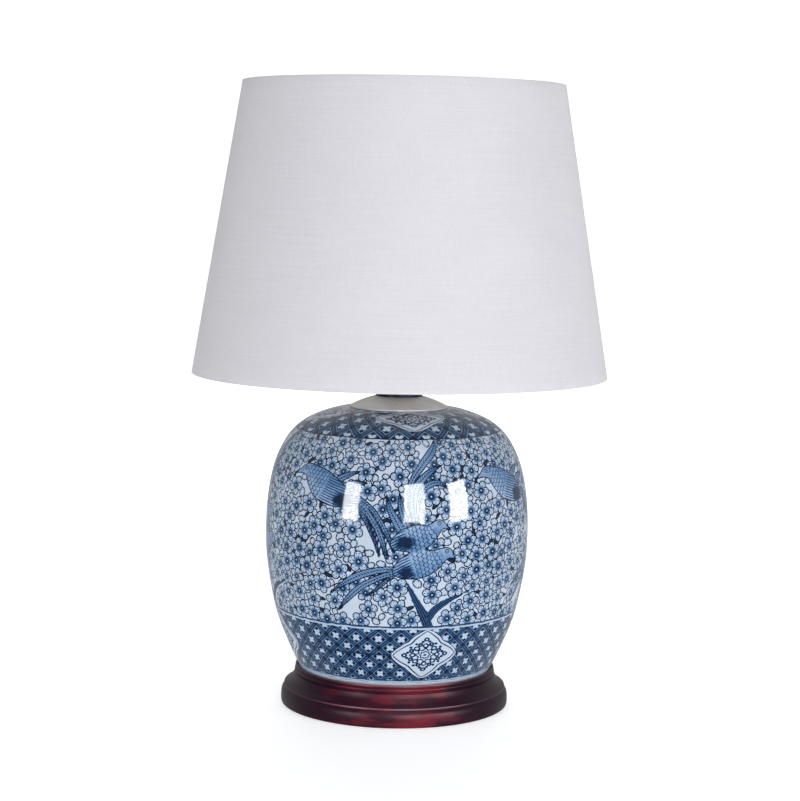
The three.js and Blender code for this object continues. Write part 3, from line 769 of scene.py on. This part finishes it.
def list_flowers(mesh, columns, heights):
    """Gives each face of the wall the flowers that may touch it, the top one first."""
    middles = (np.arange(columns // 4) + 0.5) / columns * TAU * PAINT_RADIUS
    x, v = [grid.ravel() for grid in np.meshgrid(middles, heights)]
    slots = np.zeros((PAINT_SLOTS, len(x), 4))
    slots[:] = NO_FLOWER
    filled = np.zeros(len(x), int)
    for flower in lay_out_flowers():
        reach = abs(flower[3]) + (FLOWER_REACH if flower[3] > 0 else BUD_REACH)
        near = turn_distance(x, v, flower[:1], flower[1:2])[:, 0] < reach
        for index in np.flatnonzero(near & (filled < PAINT_SLOTS)):
            slots[filled[index], index] = flower
            filled[index] += 1
    for number, slot in enumerate(slots):
        store(mesh, f"flower_{number}", "FACE", len(heights), slot[:, :3], NO_FLOWER[:3])
        store(mesh, f"flower_size_{number}", "FACE", len(heights), slot[:, 3], NO_FLOWER[3:])


def list_strokes(mesh, columns, heights):
    """Gives each point of the wall its height along the wall, and its place by the strokes."""
    angles = (np.arange(columns) / columns * TAU + math.pi / 4) % (math.pi / 2) - math.pi / 4
    x, v = [grid.ravel() for grid in np.meshgrid(angles[:columns // 4] * PAINT_RADIUS, heights)]
    store(mesh, "wall_height", "POINT", len(heights), v, (OFF_WALL,))
    for name, strokes in (("branch", BRANCHES), ("plume", PLUMES), ("body", BODIES)):
        store(mesh, name, "POINT", len(heights), stroke_field(strokes, x, v), (OFF_WALL,) * 3)


def lattice(angle, v, design):
    """Crossing bands with a pale four-lobed star in each cell, as ink."""
    cells, row, height, degrees = design
    a = (angle - math.radians(degrees)) * (cells / TAU)
    b = (v - row) / height
    fold_a, fold_b = abs((a + b).fold(1.0)), abs((a - b).fold(1.0))
    outer, inner = fold_a.most(fold_b), fold_a.least(fold_b)
    lobe = length(outer - 0.165, inner) - 0.108
    star = lobe.least(outer - 0.112).below(0.0, 0.03)
    ink = star.math("MULTIPLY_ADD", -0.87, 1.0)
    band = (0.35 - outer).below(0.0, 0.02)
    ink = ink.blend(0.66, band)
    ink = ink.blend(0.98, band * outer.near(0.425, 0.028, 0.02))
    ink = ink.blend(0.97, (0.37 - inner).below(0.0, 0.03))
    return ink.blend(0.36, outer.near(0.33, 0.02, 0.02))


def medallion(angle, v, design, radius):
    """Four pointed lobes with a rosette of loops inside. Gives the ink and where it covers."""
    degrees, middle, half_width, half_height = design
    across = abs((angle - math.radians(degrees)).fold(math.pi / 2)) * radius / half_width
    up = abs(v - middle) / half_height
    lobe_a = up - (1.0 - across).most(0.0) ** 0.6 * 0.85
    lobe_b = across - (1.0 - up).most(0.0) ** 0.6 * 0.85
    edge = lobe_a.least(lobe_b) * 19.0
    ink = edge.near(-2.4, 0.48) * 0.88 + 0.07
    reach = length(across, up)
    turn = up.bearing(across)
    for size, wave, lobes, width in ((0.24, 0.035, 8, 0.026), (0.14, 0.02, 8, 0.02)):
        loop = (turn * float(lobes)).cosine() * wave + size
        ink = ink.blend(0.92, reach.near(loop, width, 0.02))
    for count, shift, out, size, line in MEDALLION_LOOPS:
        off = (turn + shift * TAU / count).fold(TAU / count) * reach
        loop = abs(length(reach - out, off) - size)
        ink = ink.blend(0.92, loop.below(line, 0.02))
    ink = ink.blend(0.92, reach.below(0.045, 0.02))
    ink = ink.blend(0.9, edge.near(0.35, 0.35))
    return ink, edge.below(0.6)


def blossoms(paint, x, v, ink):
    """Paints the listed flowers over the ink. Only the top one that covers a spot is shaded."""
    open_share = None
    for number in range(PAINT_SLOTS):
        place = paint.attribute(f"flower_{number}")
        size = paint.attribute(f"flower_size_{number}", single=True)
        bud = size.below(0.0, 0.01)
        size = abs(size)
        across, up = (x - place[0]).fold(QUARTER), v - place[1]
        turn = up.bearing(across) + place[2]
        leaf = bud * size.below(LEAF_BELOW, 0.01)
        slim = turn.sine() ** 2.0 * (bud * 0.7 + leaf * 1.1) + leaf * -0.56 + 1.0
        reach = ((across * across + up * up) * slim).root() / size
        turn = turn.fold(TAU / 5)
        along = reach * turn.cosine()
        petal = (reach * reach - along * (2 * PETAL_OUT) + PETAL_OUT ** 2).root() - PETAL_RADIUS
        edge = petal.least(reach - HEART_RADIUS).blend(reach - 1.0, bud) * size
        share = edge.math("LESS_THAN", OUTLINE)
        values = (edge, reach, turn, bud, size, place[2])
        if open_share is None:
            picked = [value * share for value in values]
            open_share = 1.0 - share
        else:
            share = share * open_share
            picked = [old + value * share for old, value in zip(picked, values)]
            open_share = open_share - share
    edge, reach, turn, bud, size, tone = picked
    along, aside = reach * turn.cosine(), abs(reach * turn.sine())
    wash = reach.ramp(0.85, 0.1)
    flower = wash * wash * (tone / TAU * 0.5 + 0.36) + 0.12
    rays = (abs(turn.fold(TAU / 15)) * reach).below(0.036, 0.03)
    flower = flower.blend(0.9, rays * (reach + abs(turn) * 0.2).ramp(0.62, 0.46))
    flower = flower.blend(0.96, reach.near(0.16, 0.06, 0.05))
    flower = flower.blend(0.12, reach.below(0.09, 0.03))
    dots = length(along - 0.76, aside - 0.14)
    flower = flower.blend(0.85, dots.below(0.055, 0.03))
    closed = 0.1 + reach.ramp(0.4, 1.1) * 0.12
    calyx = (turn * reach).below(-0.3, 0.05) * reach.ramp(0.5, 0.6)
    flower = flower.blend(closed.blend(0.85, calyx).blend(0.86, size.below(LEAF_BELOW)), bud)
    flower = flower.blend(1.0, abs(edge).below(OUTLINE, 0.12))
    return ink.blend(flower, 1.0 - open_share)


def birds(paint, x, v, ink):
    """Paints the plumes, then the bodies with their scales, dark rumps and eyes, over the ink."""
    edge, to_tip, aside = paint.attribute("plume")
    feather = to_tip.ramp(20.0, 0.0) * 0.18 + 0.34
    barbs = abs((to_tip + abs(aside) * 1.5).fold(2.6)).below(0.5, 0.4)
    feather = feather.blend(0.78, barbs * 0.8)
    feather = feather.blend(0.9, abs(aside).below(0.28, 0.2))
    feather = feather.blend(0.93, (-0.5 - edge).below(0.0, 0.2))
    ink = ink.blend(feather, edge.below(0.3))
    edge, to_beak, aside = paint.attribute("body")
    row = to_beak / 3.3
    lobe = (aside / 3.6 + (row * 0.5).fraction().math("GREATER_THAN", 0.5) * 0.5).fold(1.0)
    net = abs(row.fraction() + lobe * lobe * 2.0 - 0.82).below(0.13, 0.12)
    quills = abs((aside + to_beak * 0.12).fold(2.1)).below(0.42, 0.3)
    breast = to_beak.ramp(15.0, 18.0) * to_beak.ramp(42.0, 38.0)
    wing = to_beak.ramp(40.0, 43.0)
    mottle = paint.noise((x, v), 5.0, 3.0, 0.6)
    bird = aside.ramp(-10.0, 8.0) * -0.2 + mottle * 0.5 + 0.22
    bird = bird.blend(0.88, (net * breast).most(quills * wing) * 0.9)
    ragged = (paint.noise((x * 0.4, v), 2.2, 2.0) - 0.5) * 9.0
    for degrees, height, size in RUMPS:
        across, up = (x - degrees * DEGREE).fold(QUARTER), v - height
        rump = (across * across * 0.6 + up * up).root() + ragged
        bird = bird.blend(0.9, rump.below(size, 3.5))
    ring = None
    for degrees, height in EYES:
        distance = length((x - degrees * DEGREE).fold(QUARTER), v - height)
        ring = distance if ring is None else ring.least(distance)
    bird = bird.blend(0.1, ring.below(1.5)).blend(0.95, ring.near(1.4, 0.35))
    bird = bird.blend(0.95, ring.below(0.6)).blend(0.95, (-0.5 - edge).below(0.0, 0.2))
    return ink.blend(bird, edge.below(0.32))


def painted_glaze():
    paint = Paint("painted_porcelain", colour(150, 170, 205), 0.07, IOR=1.65)
    x, y, z = paint.place()
    spot = (x, y, z)
    angle = x.bearing(y * -1.0)
    radius = length(x, y)
    height = paint.attribute("wall_height", single=True)
    waver = paint.noise(spot, 7.0, 1.0) - 0.5
    waver_too = paint.noise((z, x, y), 6.0, 1.0) - 0.5
    v = height + waver * 1.4
    angle = angle + waver_too * 0.012
    flat_x = angle * PAINT_RADIUS
    washes = paint.noise(spot, 5.0, 3.0, 0.6)

    edge, _, aside = paint.attribute("branch")
    bark = 0.92 - (abs(aside.fold(1.8)).below(0.3, 0.3)) * 0.3
    ragged = edge + (washes - 0.5) * 3.5
    ink = (washes * 0.06 + 0.03).blend(bark, ragged.below(0.0, 0.4))
    ink = blossoms(paint, flat_x, v, ink)
    ink = birds(paint, flat_x, v, ink)

    for outside, pattern, medal in ((v.below(FIELD_LOW), LATTICE_LOW, MEDALLION_LOW),
                                    ((FIELD_HIGH - v).below(0.0), LATTICE_HIGH, MEDALLION_HIGH)):
        ground, shape = medallion(angle, v, medal, radius)
        ink = ink.blend(lattice(angle, v, pattern).blend(ground, shape), outside)
    for ring, reach, shade in PAINTED_RINGS:
        ink = ink.blend(shade, v.near(ring, reach))
    ink = ink.blend(0.04, height.below(FOOT_RIM))

    ink = ink * (washes * 0.3 + 0.85)
    ramp = paint.node("ValToRGB")
    stops = ramp.color_ramp.elements
    while len(stops) < len(INK_COLOURS):
        stops.new(0.5)
    for stop, (place, shade) in zip(stops, INK_COLOURS):
        stop.position = place
        stop.color = colour(*shade)
    paint.tree.links.new(ink.socket, ramp.inputs[0])
    paint.set("Base Color", ramp.outputs[0])
    paint.set("Roughness", washes * 0.04 + 0.05)
    paint.bump(paint.noise(spot, 22.0, 2.0), 0.25)
    return paint.material


FINISHES["porcelain"] = painted_glaze()
piece("jar_body", jar_mesh(), "stand", "porcelain", "porcelain_jar")


# ---- Cap and neck

CAP_SPHERE_RADIUS = 86.0
CAP_APEX = 265.3


def cap_height(radius, sphere=CAP_SPHERE_RADIUS):
    return CAP_APEX - CAP_SPHERE_RADIUS + math.sqrt(sphere ** 2 - radius ** 2)


def vase_cap():
    bottom, _, rim = span("vase_cap")
    radii = np.linspace(rim - 1.3, ROD_HOLE_RADIUS, 26)
    top = [(radius, cap_height(radius)) for radius in radii]
    under = [(radius, cap_height(radius, CAP_SPHERE_RADIUS - 1)) for radius in radii[::-1]]
    edge = smooth_line([(rim - 0.3, bottom), (rim, bottom + 0.4), (rim - 0.2, bottom + 1.0)], 3)
    return turned(edge + top + under + [(rim - 1, bottom)], 144)


def neck_ring():
    bottom, top, reach = span("neck_ring")
    seat = [(radius, cap_height(radius) + 0.35) for radius in (ROD_HOLE_RADIUS, 9, 13, 16, reach - 0.2)]
    side = rounded([(reach, bottom + 0.1), (reach, 268.2), (reach - 3.3, 270.2), (14.8, top - 0.2),
                    (14.4, top), (ROD_HOLE_RADIUS, top)], 0.7, closed=False)
    return turned(seat + side, 96)


piece("jar_cap", vase_cap(), "stand", "satin_nickel", "vase_cap")
piece("neck_collar", neck_ring(), "stand", "dark_bronze", "neck_ring")


# ---- Harp

HARP_OUTLINE = [(28.9, 277.5), (28.9, 292), (28.9, 305), (34, 320), (47, 346), (56, 382), (55, 420),
                (46, 456), (31, 480), (13, 490.6)]
HARP_TOP = 492.0
HARP_WIRE_RADIUS = 1.6
STUD_PITCH = 0.94        # of the finial's thread, 27 turns to the inch


def harp_wire():
    right = [(x, 0, height) for x, height in HARP_OUTLINE]
    left = [(-x, 0, height) for x, height in HARP_OUTLINE][::-1]
    return swept(smooth_line(right + [(0, 0, HARP_TOP)] + left, 8), HARP_WIRE_RADIUS, 16)


def sleeve(name):
    bottom, top, outer = span(name)
    corner_a, corner_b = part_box(name)
    middle = ((corner_a[0] + corner_b[0]) / 2 / MM, (corner_a[1] + corner_b[1]) / 2 / MM)
    profile = rounded([(3.5, bottom), (outer, bottom), (outer, bottom + 1.2), (outer - 0.3, bottom + 1.6),
                       (outer - 0.3, top - 1.6), (outer, top - 1.2), (outer, top), (3.5, top)], 0.25)
    return turned(profile, 40, centre=middle)


def harp_swivel():
    bottom, top, reach = span("harp_swivel")
    shoulder = low("shade_fitter") - GAP
    body = rounded([(0, bottom), (reach - 0.5, bottom), (reach, bottom + 1.0), (reach, shoulder),
                    (3.1, shoulder)], 0.4, closed=False)
    turns = int((top - 1.2 - shoulder - 0.8) / STUD_PITCH)
    thread = []
    for turn in range(turns):
        crest = shoulder + 0.8 + turn * STUD_PITCH
        thread += [(2.75, crest), (3.1, crest + 0.35), (3.1, crest + 0.5), (2.75, crest + 0.85)]
    return turned(body + thread + [(2.7, top - 0.5), (2.2, top), (0, top)], 40)


piece("harp_loop", harp_wire(), "stand", "satin_nickel", "harp_wire")
for side in ("left", "right"):
    node = "harp_sleeve_" + side
    piece("harp_ferrule_" + side, sleeve(node), node, "satin_nickel", node)
piece("harp_swivel_stud", harp_swivel(), "shade", "satin_nickel", "harp_swivel")


# ---- Socket and switch

SWITCH_HEIGHT = 303.0
SWITCH_HOLE_RADIUS = 2.6
LAMP_THREAD_PITCH = 3.6  # of the bulb's cap and its shell


def switch_hole(mesh):
    return cut_hole(mesh, SWITCH_HOLE_RADIUS, (0, -10, SWITCH_HEIGHT), (0, -20, SWITCH_HEIGHT))


def socket_cap():
    bottom, top, _ = span("socket_cap")
    outside = smooth_line([(8.5, 283), (9.6, 284.4), (13, 285.8), (15.6, 288.2), (16.7, 291.6),
                           (17, 294)], 4)
    bead = smooth_line([(17, 295), (16.7, 295.6), (16.7, 296.2), (17, 296.8), (17, top - 0.2),
                        (16.6, top)], 3)
    inside = smooth_line([(16.1, top - 0.2), (16.1, 293.2), (15.0, 289.6), (12.4, 286.8), (7.6, 284.4)], 4)
    foot = [(ROD_HOLE_RADIUS, 284.4), (ROD_HOLE_RADIUS, bottom), (8.2, bottom), (8.5, bottom + 0.4)]
    mesh = turned(foot + outside + bead + inside, 96)
    return cut_hole(mesh, 1.8, (0, 4, 280), (0, 12, 280))


def socket_shell():
    bottom, top, outer = span("socket_shell")
    wall = [(outer, bottom)]
    for band in (316.0, 320.0, 324.0):
        wall += smooth_line([(outer, band - 1.2), (outer - 0.25, band - 0.5), (outer - 0.25, band + 0.5),
                             (outer, band + 1.2)], 3)
    wall += smooth_line([(outer, top - 2.0), (outer + 0.1, top - 0.5), (outer - 0.1, top)], 3)
    mesh = turned(wall + [(outer - 0.5, top - 0.1), (outer - 0.5, bottom)], 96)
    return switch_hole(mesh)


def socket_liner():
    bottom, top, _ = span("socket_liner")
    mesh = turned(rounded([(14.5, bottom), (15, bottom), (15, top), (14.5, top)], 0.12), 96)
    return switch_hole(mesh)


def screw_shell():
    bottom, top, _ = span("screw_shell")
    outside, inside = [(14.0, bottom), (14.1, bottom + 0.3)], []
    for turn in range(5):
        crest = bottom + 5.0 + turn * LAMP_THREAD_PITCH
        outside += [(13.95, crest - 1.2), (14.1, crest), (13.95, crest + 1.2)]
        inside += [(13.45, crest - 1.2), (13.6, crest), (13.45, crest + 1.2)]
    outside += [(14.1, top - 0.2), (13.9, top)]
    return turned([(8, bottom)] + outside + [(13.6, top)] + inside[::-1]
                  + [(13.6, bottom + 0.5), (8, bottom + 0.5)], 72)


KNOB_GRIP_RADIUS = 5.5   # the knob is ridged where it is wider than this
KNOB_RIDGE = 0.22


def switch_knob():
    far, near = [-corner[1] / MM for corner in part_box("switch_knob")]
    outside = smooth_line([(3.6, near), (4.1, near + 1.6), (6.4, near + 3.4), (7.3, near + 5.6),
                           (7.4, near + 8), (6.8, near + 10.6), (4.6, near + 12.6), (1.8, far - 0.1)], 4)

    def grip(angle, radius, height):
        """Twenty ridges round the knob's widest part."""
        if radius <= KNOB_GRIP_RADIUS:
            return radius
        ridge = KNOB_RIDGE * math.cos(20 * angle) if near + 4 < height < near + 11 else 0
        return radius - KNOB_RIDGE + ridge

    mesh = turned([(0, near + 6), (2.2, near + 6), (2.2, near)] + outside + [(0, far)], 120, grip)
    mesh.transform(Matrix.Translation((0, 0, SWITCH_HEIGHT * MM)) @ Matrix.Rotation(math.pi / 2, 4, "X"))
    return mesh


piece("socket_base_cap", socket_cap(), "stand", "brass", "socket_cap")
piece("socket_outer_shell", socket_shell(), "stand", "brass", "socket_shell")
piece("socket_card_liner", socket_liner(), "stand", "insulating_card", "socket_liner")
piece("socket_screw_shell", screw_shell(), "stand", "brass", "screw_shell")
piece("switch_turn_knob", switch_knob(), "switch", "brass", "switch_knob")


# ---- Bulb

BULB_OUTLINE = [(12.1, 341.5), (14.5, 348), (20, 359), (26.6, 371), (29.8, 384), (29.6, 396),
                (26, 408), (18, 418), (9, 423.6)]


def bulb_screw_cap():
    bottom, top, crest_radius = span("bulb_screw_cap")
    thread = smooth_line([(9.4, bottom), (11.6, 318.8), (crest_radius - 0.6, 319.6)], 3)
    for turn in range(5):
        crest = 321.0 + turn * LAMP_THREAD_PITCH
        thread += [(crest_radius, crest), (crest_radius - 0.25, crest + 0.9),
                   (crest_radius - 0.6, crest + 1.8), (crest_radius - 0.25, crest + 2.7)]
    skirt = [(crest_radius, 339.2), (crest_radius, top - 0.2), (crest_radius - 0.3, top)]
    return turned(thread + skirt + [(12.45, top), (12.1, 322.4), (8.9, bottom + 0.8)], 96)


def bulb_glass():
    bottom, top, _ = span("bulb_glass")
    outside = [(12.1, bottom), (12.1, 336)] + smooth_line(BULB_OUTLINE + [(0.001, top)], 7)[:-1]
    inside = inset(outside, 0.8)[::-1]
    inside[-1] = (11.3, bottom)
    return turned([(0, top - 0.8)] + inside[1:] + outside + [(0, top)], 96)


piece("bulb_cap_shell", bulb_screw_cap(), "bulb", "zinc_steel", "bulb_screw_cap")
piece("bulb_envelope", bulb_glass(), "bulb", "frosted_glass", "bulb_glass")


# ---- Shade

SHADE_LOW, SHADE_HIGH, SHADE_LOW_RADIUS = span("shade_cover")
SHADE_HIGH_RADIUS = 134.6
SHADE_TAPER = (SHADE_LOW_RADIUS - SHADE_HIGH_RADIUS) / (SHADE_HIGH - SHADE_LOW)
SHADE_SEGMENTS = 288
LAYER_EDGE = 0.2         # rounding of a layer's edges
HOOP_WIRE_RADIUS = 1.6
SPOKE_WIRE_RADIUS = 1.3


def shade_radius(height):
    return SHADE_LOW_RADIUS - (height - SHADE_LOW) * SHADE_TAPER


def cone_layer(node, depth, thickness, rows, shape=None):
    """One layer of the cone, a given depth inside its outer face, with rounded edges."""
    bottom, top, _ = span(node)
    outer = [(shade_radius(height) - depth, height) for height in np.linspace(bottom, top, rows)]
    inner = [(radius - thickness, height) for radius, height in outer[::-1]]
    return turned(rounded(outer + inner, LAYER_EDGE), SHADE_SEGMENTS, shape)


SEAM_WIDTH = 12.0
SEAM_STEP = 0.35


def seam(angle, radius, height):
    """The cloth's glued overlap stands a little proud, up the back of the shade."""
    across = abs(angle - math.pi) * radius
    return radius + SEAM_STEP * min(max((SEAM_WIDTH / 2 - across) / 0.8, 0), 1)


def shade_ring(node):
    """A wire ring. Its middle radius and height are given too."""
    bottom, top, outer = span(node)
    radius, height = outer - HOOP_WIRE_RADIUS, (bottom + top) / 2
    path = []
    for step in range(144):
        angle = TAU * step / 144
        path.append((radius * math.cos(angle), radius * math.sin(angle), height))
    return swept(path, HOOP_WIRE_RADIUS, 12, closed=True), radius, height


def shade_spoke(degrees, ring_radius, ring_height):
    """A spoke lies just over the fitter, runs out and turns up to the top ring."""
    level = high("shade_fitter") + SPOKE_WIRE_RADIUS + GAP
    tip = (ring_radius - 1.0, ring_height - 1.75)
    route = [(12, level), (30, level), (60, level), (106, level), (116, level + 1.6),
             (122.5, level + 7), tip]
    angle = math.radians(degrees)
    path = []
    for radius, height in smooth_line(route, 6):
        path.append((radius * math.cos(angle), radius * math.sin(angle), height))
    return swept(path, SPOKE_WIRE_RADIUS, 12)


def shade_fitter():
    bottom, top, outer = span("shade_fitter")
    inner = 3.4
    rib = smooth_line([(10.5, top - 0.35), (9.5, top), (7.5, top), (6.5, top - 0.35)], 3)
    profile = [(inner, bottom), (outer - 0.3, bottom), (outer, bottom + 0.4), (outer, top - 0.6),
               (outer - 0.4, top - 0.35)] + rib + [(inner, top - 0.35)]
    return turned(profile, 96)


cloth = cone_layer("shade_cover", 0, 0.6, 26, seam)
cover = piece("shade_cloth", cloth, "shade", "shade_linen", "shade_cover")
lining = cone_layer("shade_liner", 0.9, 0.5, 14)
piece("shade_lining", lining, "shade", "shade_styrene", "shade_liner")
for node in ("shade_low_tape", "shade_high_tape"):
    hem = cone_layer(node, 1.7, 0.5, 4)
    piece(node.replace("tape", "hem"), hem, "shade", "shade_linen", node)
for node in ("shade_low_ring", "shade_high_ring"):
    ring_mesh, ring_radius, ring_height = shade_ring(node)
    piece(node.replace("ring", "hoop"), ring_mesh, "shade", "coated_wire", node)
for index, degrees in enumerate((90, 210, 330), 1):
    spoke = shade_spoke(degrees, ring_radius, ring_height)
    piece(f"shade_arm_{index}", spoke, "shade", "coated_wire", f"shade_spoke_{index}")
piece("shade_hub", shade_fitter(), "shade", "coated_wire", "shade_fitter")


# ---- Finial

def finial_knob():
    bottom, top, _ = span("finial_knob")
    foot = rounded([(5.3, bottom), (9, bottom), (9, bottom + 1.4), (8.2, bottom + 2.2)], 0.4, closed=False)
    body = smooth_line([(8.0, bottom + 2.3), (6.9, bottom + 3.4), (6.5, bottom + 5.8), (7.6, bottom + 8.8),
                        (8.4, bottom + 12.2), (7.8, bottom + 15.8), (5.2, bottom + 19.2),
                        (2.0, top - 0.15)], 5)
    ceiling = high("finial_insert") + GAP
    return turned([(0, ceiling), (5.3, ceiling)] + foot + body + [(0, top)], 96)


piece("finial_turning", finial_knob(), "finial", "satin_nickel", "finial_knob")


# ---- CAD nodes that stay

PLAIN_NODES = {
    "zinc_steel": ["base_washer", "base_lock_washer", "lamp_rod", "socket_set_screw",
                   "terminal_screw_right", "bulb_contact"],
    "brass": ["base_nut", "terminal_screw_left", "centre_contact", "switch_shaft", "finial_insert"],
    "satin_nickel": ["harp_saddle"],
    "rubber": ["mouth_plug"],
    "phenolic": ["socket_body"],
    "black_glass": ["bulb_insulator"],
    "clear_glass": ["bulb_stem"],
}
for finish, nodes in PLAIN_NODES.items():
    for node in nodes:
        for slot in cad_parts[node].material_slots:
            slot.material = FINISHES[finish]


# ---- Floor and light

FLOOR_REACH = 3000.0      # mm, from the lamp to where the backdrop takes over
FLOOR_GLOW_RISE = (300.0, 2500.0)    # mm from the lamp, where the floor's glow grows
SWEEP_RADIUS = 2000.0
BACKDROP_TOP = 7000.0


def add_floor():
    """A pale floor, and a backdrop that sweeps up all round it. The backdrop is only seen, and
    takes no light from the lamp."""
    paint = Paint("pale_floor", (0.88, 0.88, 0.89, 1), 0.75, Emission_Color=(1.0, 1.0, 1.0, 1.0))
    x, y, _ = paint.place()
    paint.set("Emission Strength", length(x, y).ramp(*FLOOR_GLOW_RISE) * 0.35 + 0.6)
    disc = turned([(0, 0), (400, 0), (1200, 0), (FLOOR_REACH, 0)], 96)
    sweep = [(FLOOR_REACH, 0)]
    for step in range(1, 17):
        angle = math.pi / 2 * step / 16
        sweep.append((FLOOR_REACH + SWEEP_RADIUS * math.sin(angle), SWEEP_RADIUS * (1 - math.cos(angle))))
    wall = sweep + [(FLOOR_REACH + SWEEP_RADIUS, BACKDROP_TOP)]
    for name, mesh in (("floor", disc), ("backdrop", turned(wall, 96, joined=False))):
        stage = add_object(name, mesh)
        mesh.materials.append(paint.material)
        stage.visible_glossy = False
        stage.visible_diffuse = stage.visible_shadow = name == "floor"


def panel(name, place, aim, width, height, radiance, glossy=True, diffuse=True):
    """A flat soft light that faces a point, for reflections, for matt surfaces or for both."""
    data = bpy.data.lights.new(name, "AREA")
    data.shape = "RECTANGLE"
    data.size, data.size_y = width, height
    data.energy = radiance * math.pi * width * height
    data.color = LIGHT_COLOUR
    light = add_object(name, data)
    light.location = place
    light.rotation_euler = (Vector(aim) - Vector(place)).to_track_quat("-Z", "Y").to_euler()
    light.visible_glossy = glossy
    light.visible_diffuse = diffuse
    light.visible_camera = False


LIGHT_COLOUR = (0.97, 0.985, 1.0)
WINDOW_DISTANCE = 2.0
WASH_OFFSET = 1.03       # the matt light stands a little behind the one that is reflected
JAR_LEVEL = 0.19
# Name, azimuth, width, bottom and top in degrees, radiance on matt surfaces and in reflections
WINDOWS = [("window_left", -40, 14, -1, 20, 8.0, 12.5), ("window_middle", 15, 18, -1, 22, 6.9, 12.5),
           ("window_right", 54, 17, -1, 20, 7.2, 13.5)]


def window(name, azimuth, wide, bottom, top, radiance, glint):
    """A tall window of light. Its edges are given as angles in degrees, as seen from the jar."""
    azimuth = math.radians(azimuth)
    low_edge = JAR_LEVEL + WINDOW_DISTANCE * math.tan(math.radians(bottom))
    high_edge = JAR_LEVEL + WINDOW_DISTANCE * math.tan(math.radians(top))
    middle = (low_edge + high_edge) / 2
    width = 2 * WINDOW_DISTANCE * math.tan(math.radians(wide / 2))
    shape = ((0, 0, middle), width, high_edge - low_edge)
    near = Vector((WINDOW_DISTANCE * math.sin(azimuth), -WINDOW_DISTANCE * math.cos(azimuth), middle))
    far = Vector((near.x * WASH_OFFSET, near.y * WASH_OFFSET, middle))
    panel(name + "_glint", near, *shape, glint, diffuse=False)
    panel(name + "_wash", far, *shape, radiance, glossy=False)


def add_light():
    """Three tall windows in front, one high up, and a sky that is brighter behind."""
    world = bpy.data.worlds.new("world")
    bpy.context.scene.world = world
    world.use_nodes = True
    tree = world.node_tree
    place = tree.nodes.new("ShaderNodeTexCoord")
    split = tree.nodes.new("ShaderNodeSeparateXYZ")
    tree.links.new(place.outputs["Generated"], split.inputs[0])
    back = Number(tree, split.outputs[1])
    sky = tree.nodes["Background"]
    feed(tree, sky.inputs["Strength"], back.ramp(-0.25, 0.5) * 0.32 + 0.11)
    feed(tree, sky.inputs["Color"], (*LIGHT_COLOUR, 1.0))
    for shape in WINDOWS:
        window(*shape)
    panel("high_window", (0.2, -0.77, 1.39), (0, 0, 0), 0.9, 0.4, 4.0, diffuse=False)
    panel("back_wash", (0.0, 2.2, 1.5), (0, 0, 0.3), 2.0, 1.6, 2.2, glossy=False)


add_floor()
add_light()
bpy.context.scene.view_settings.view_transform = "Standard"
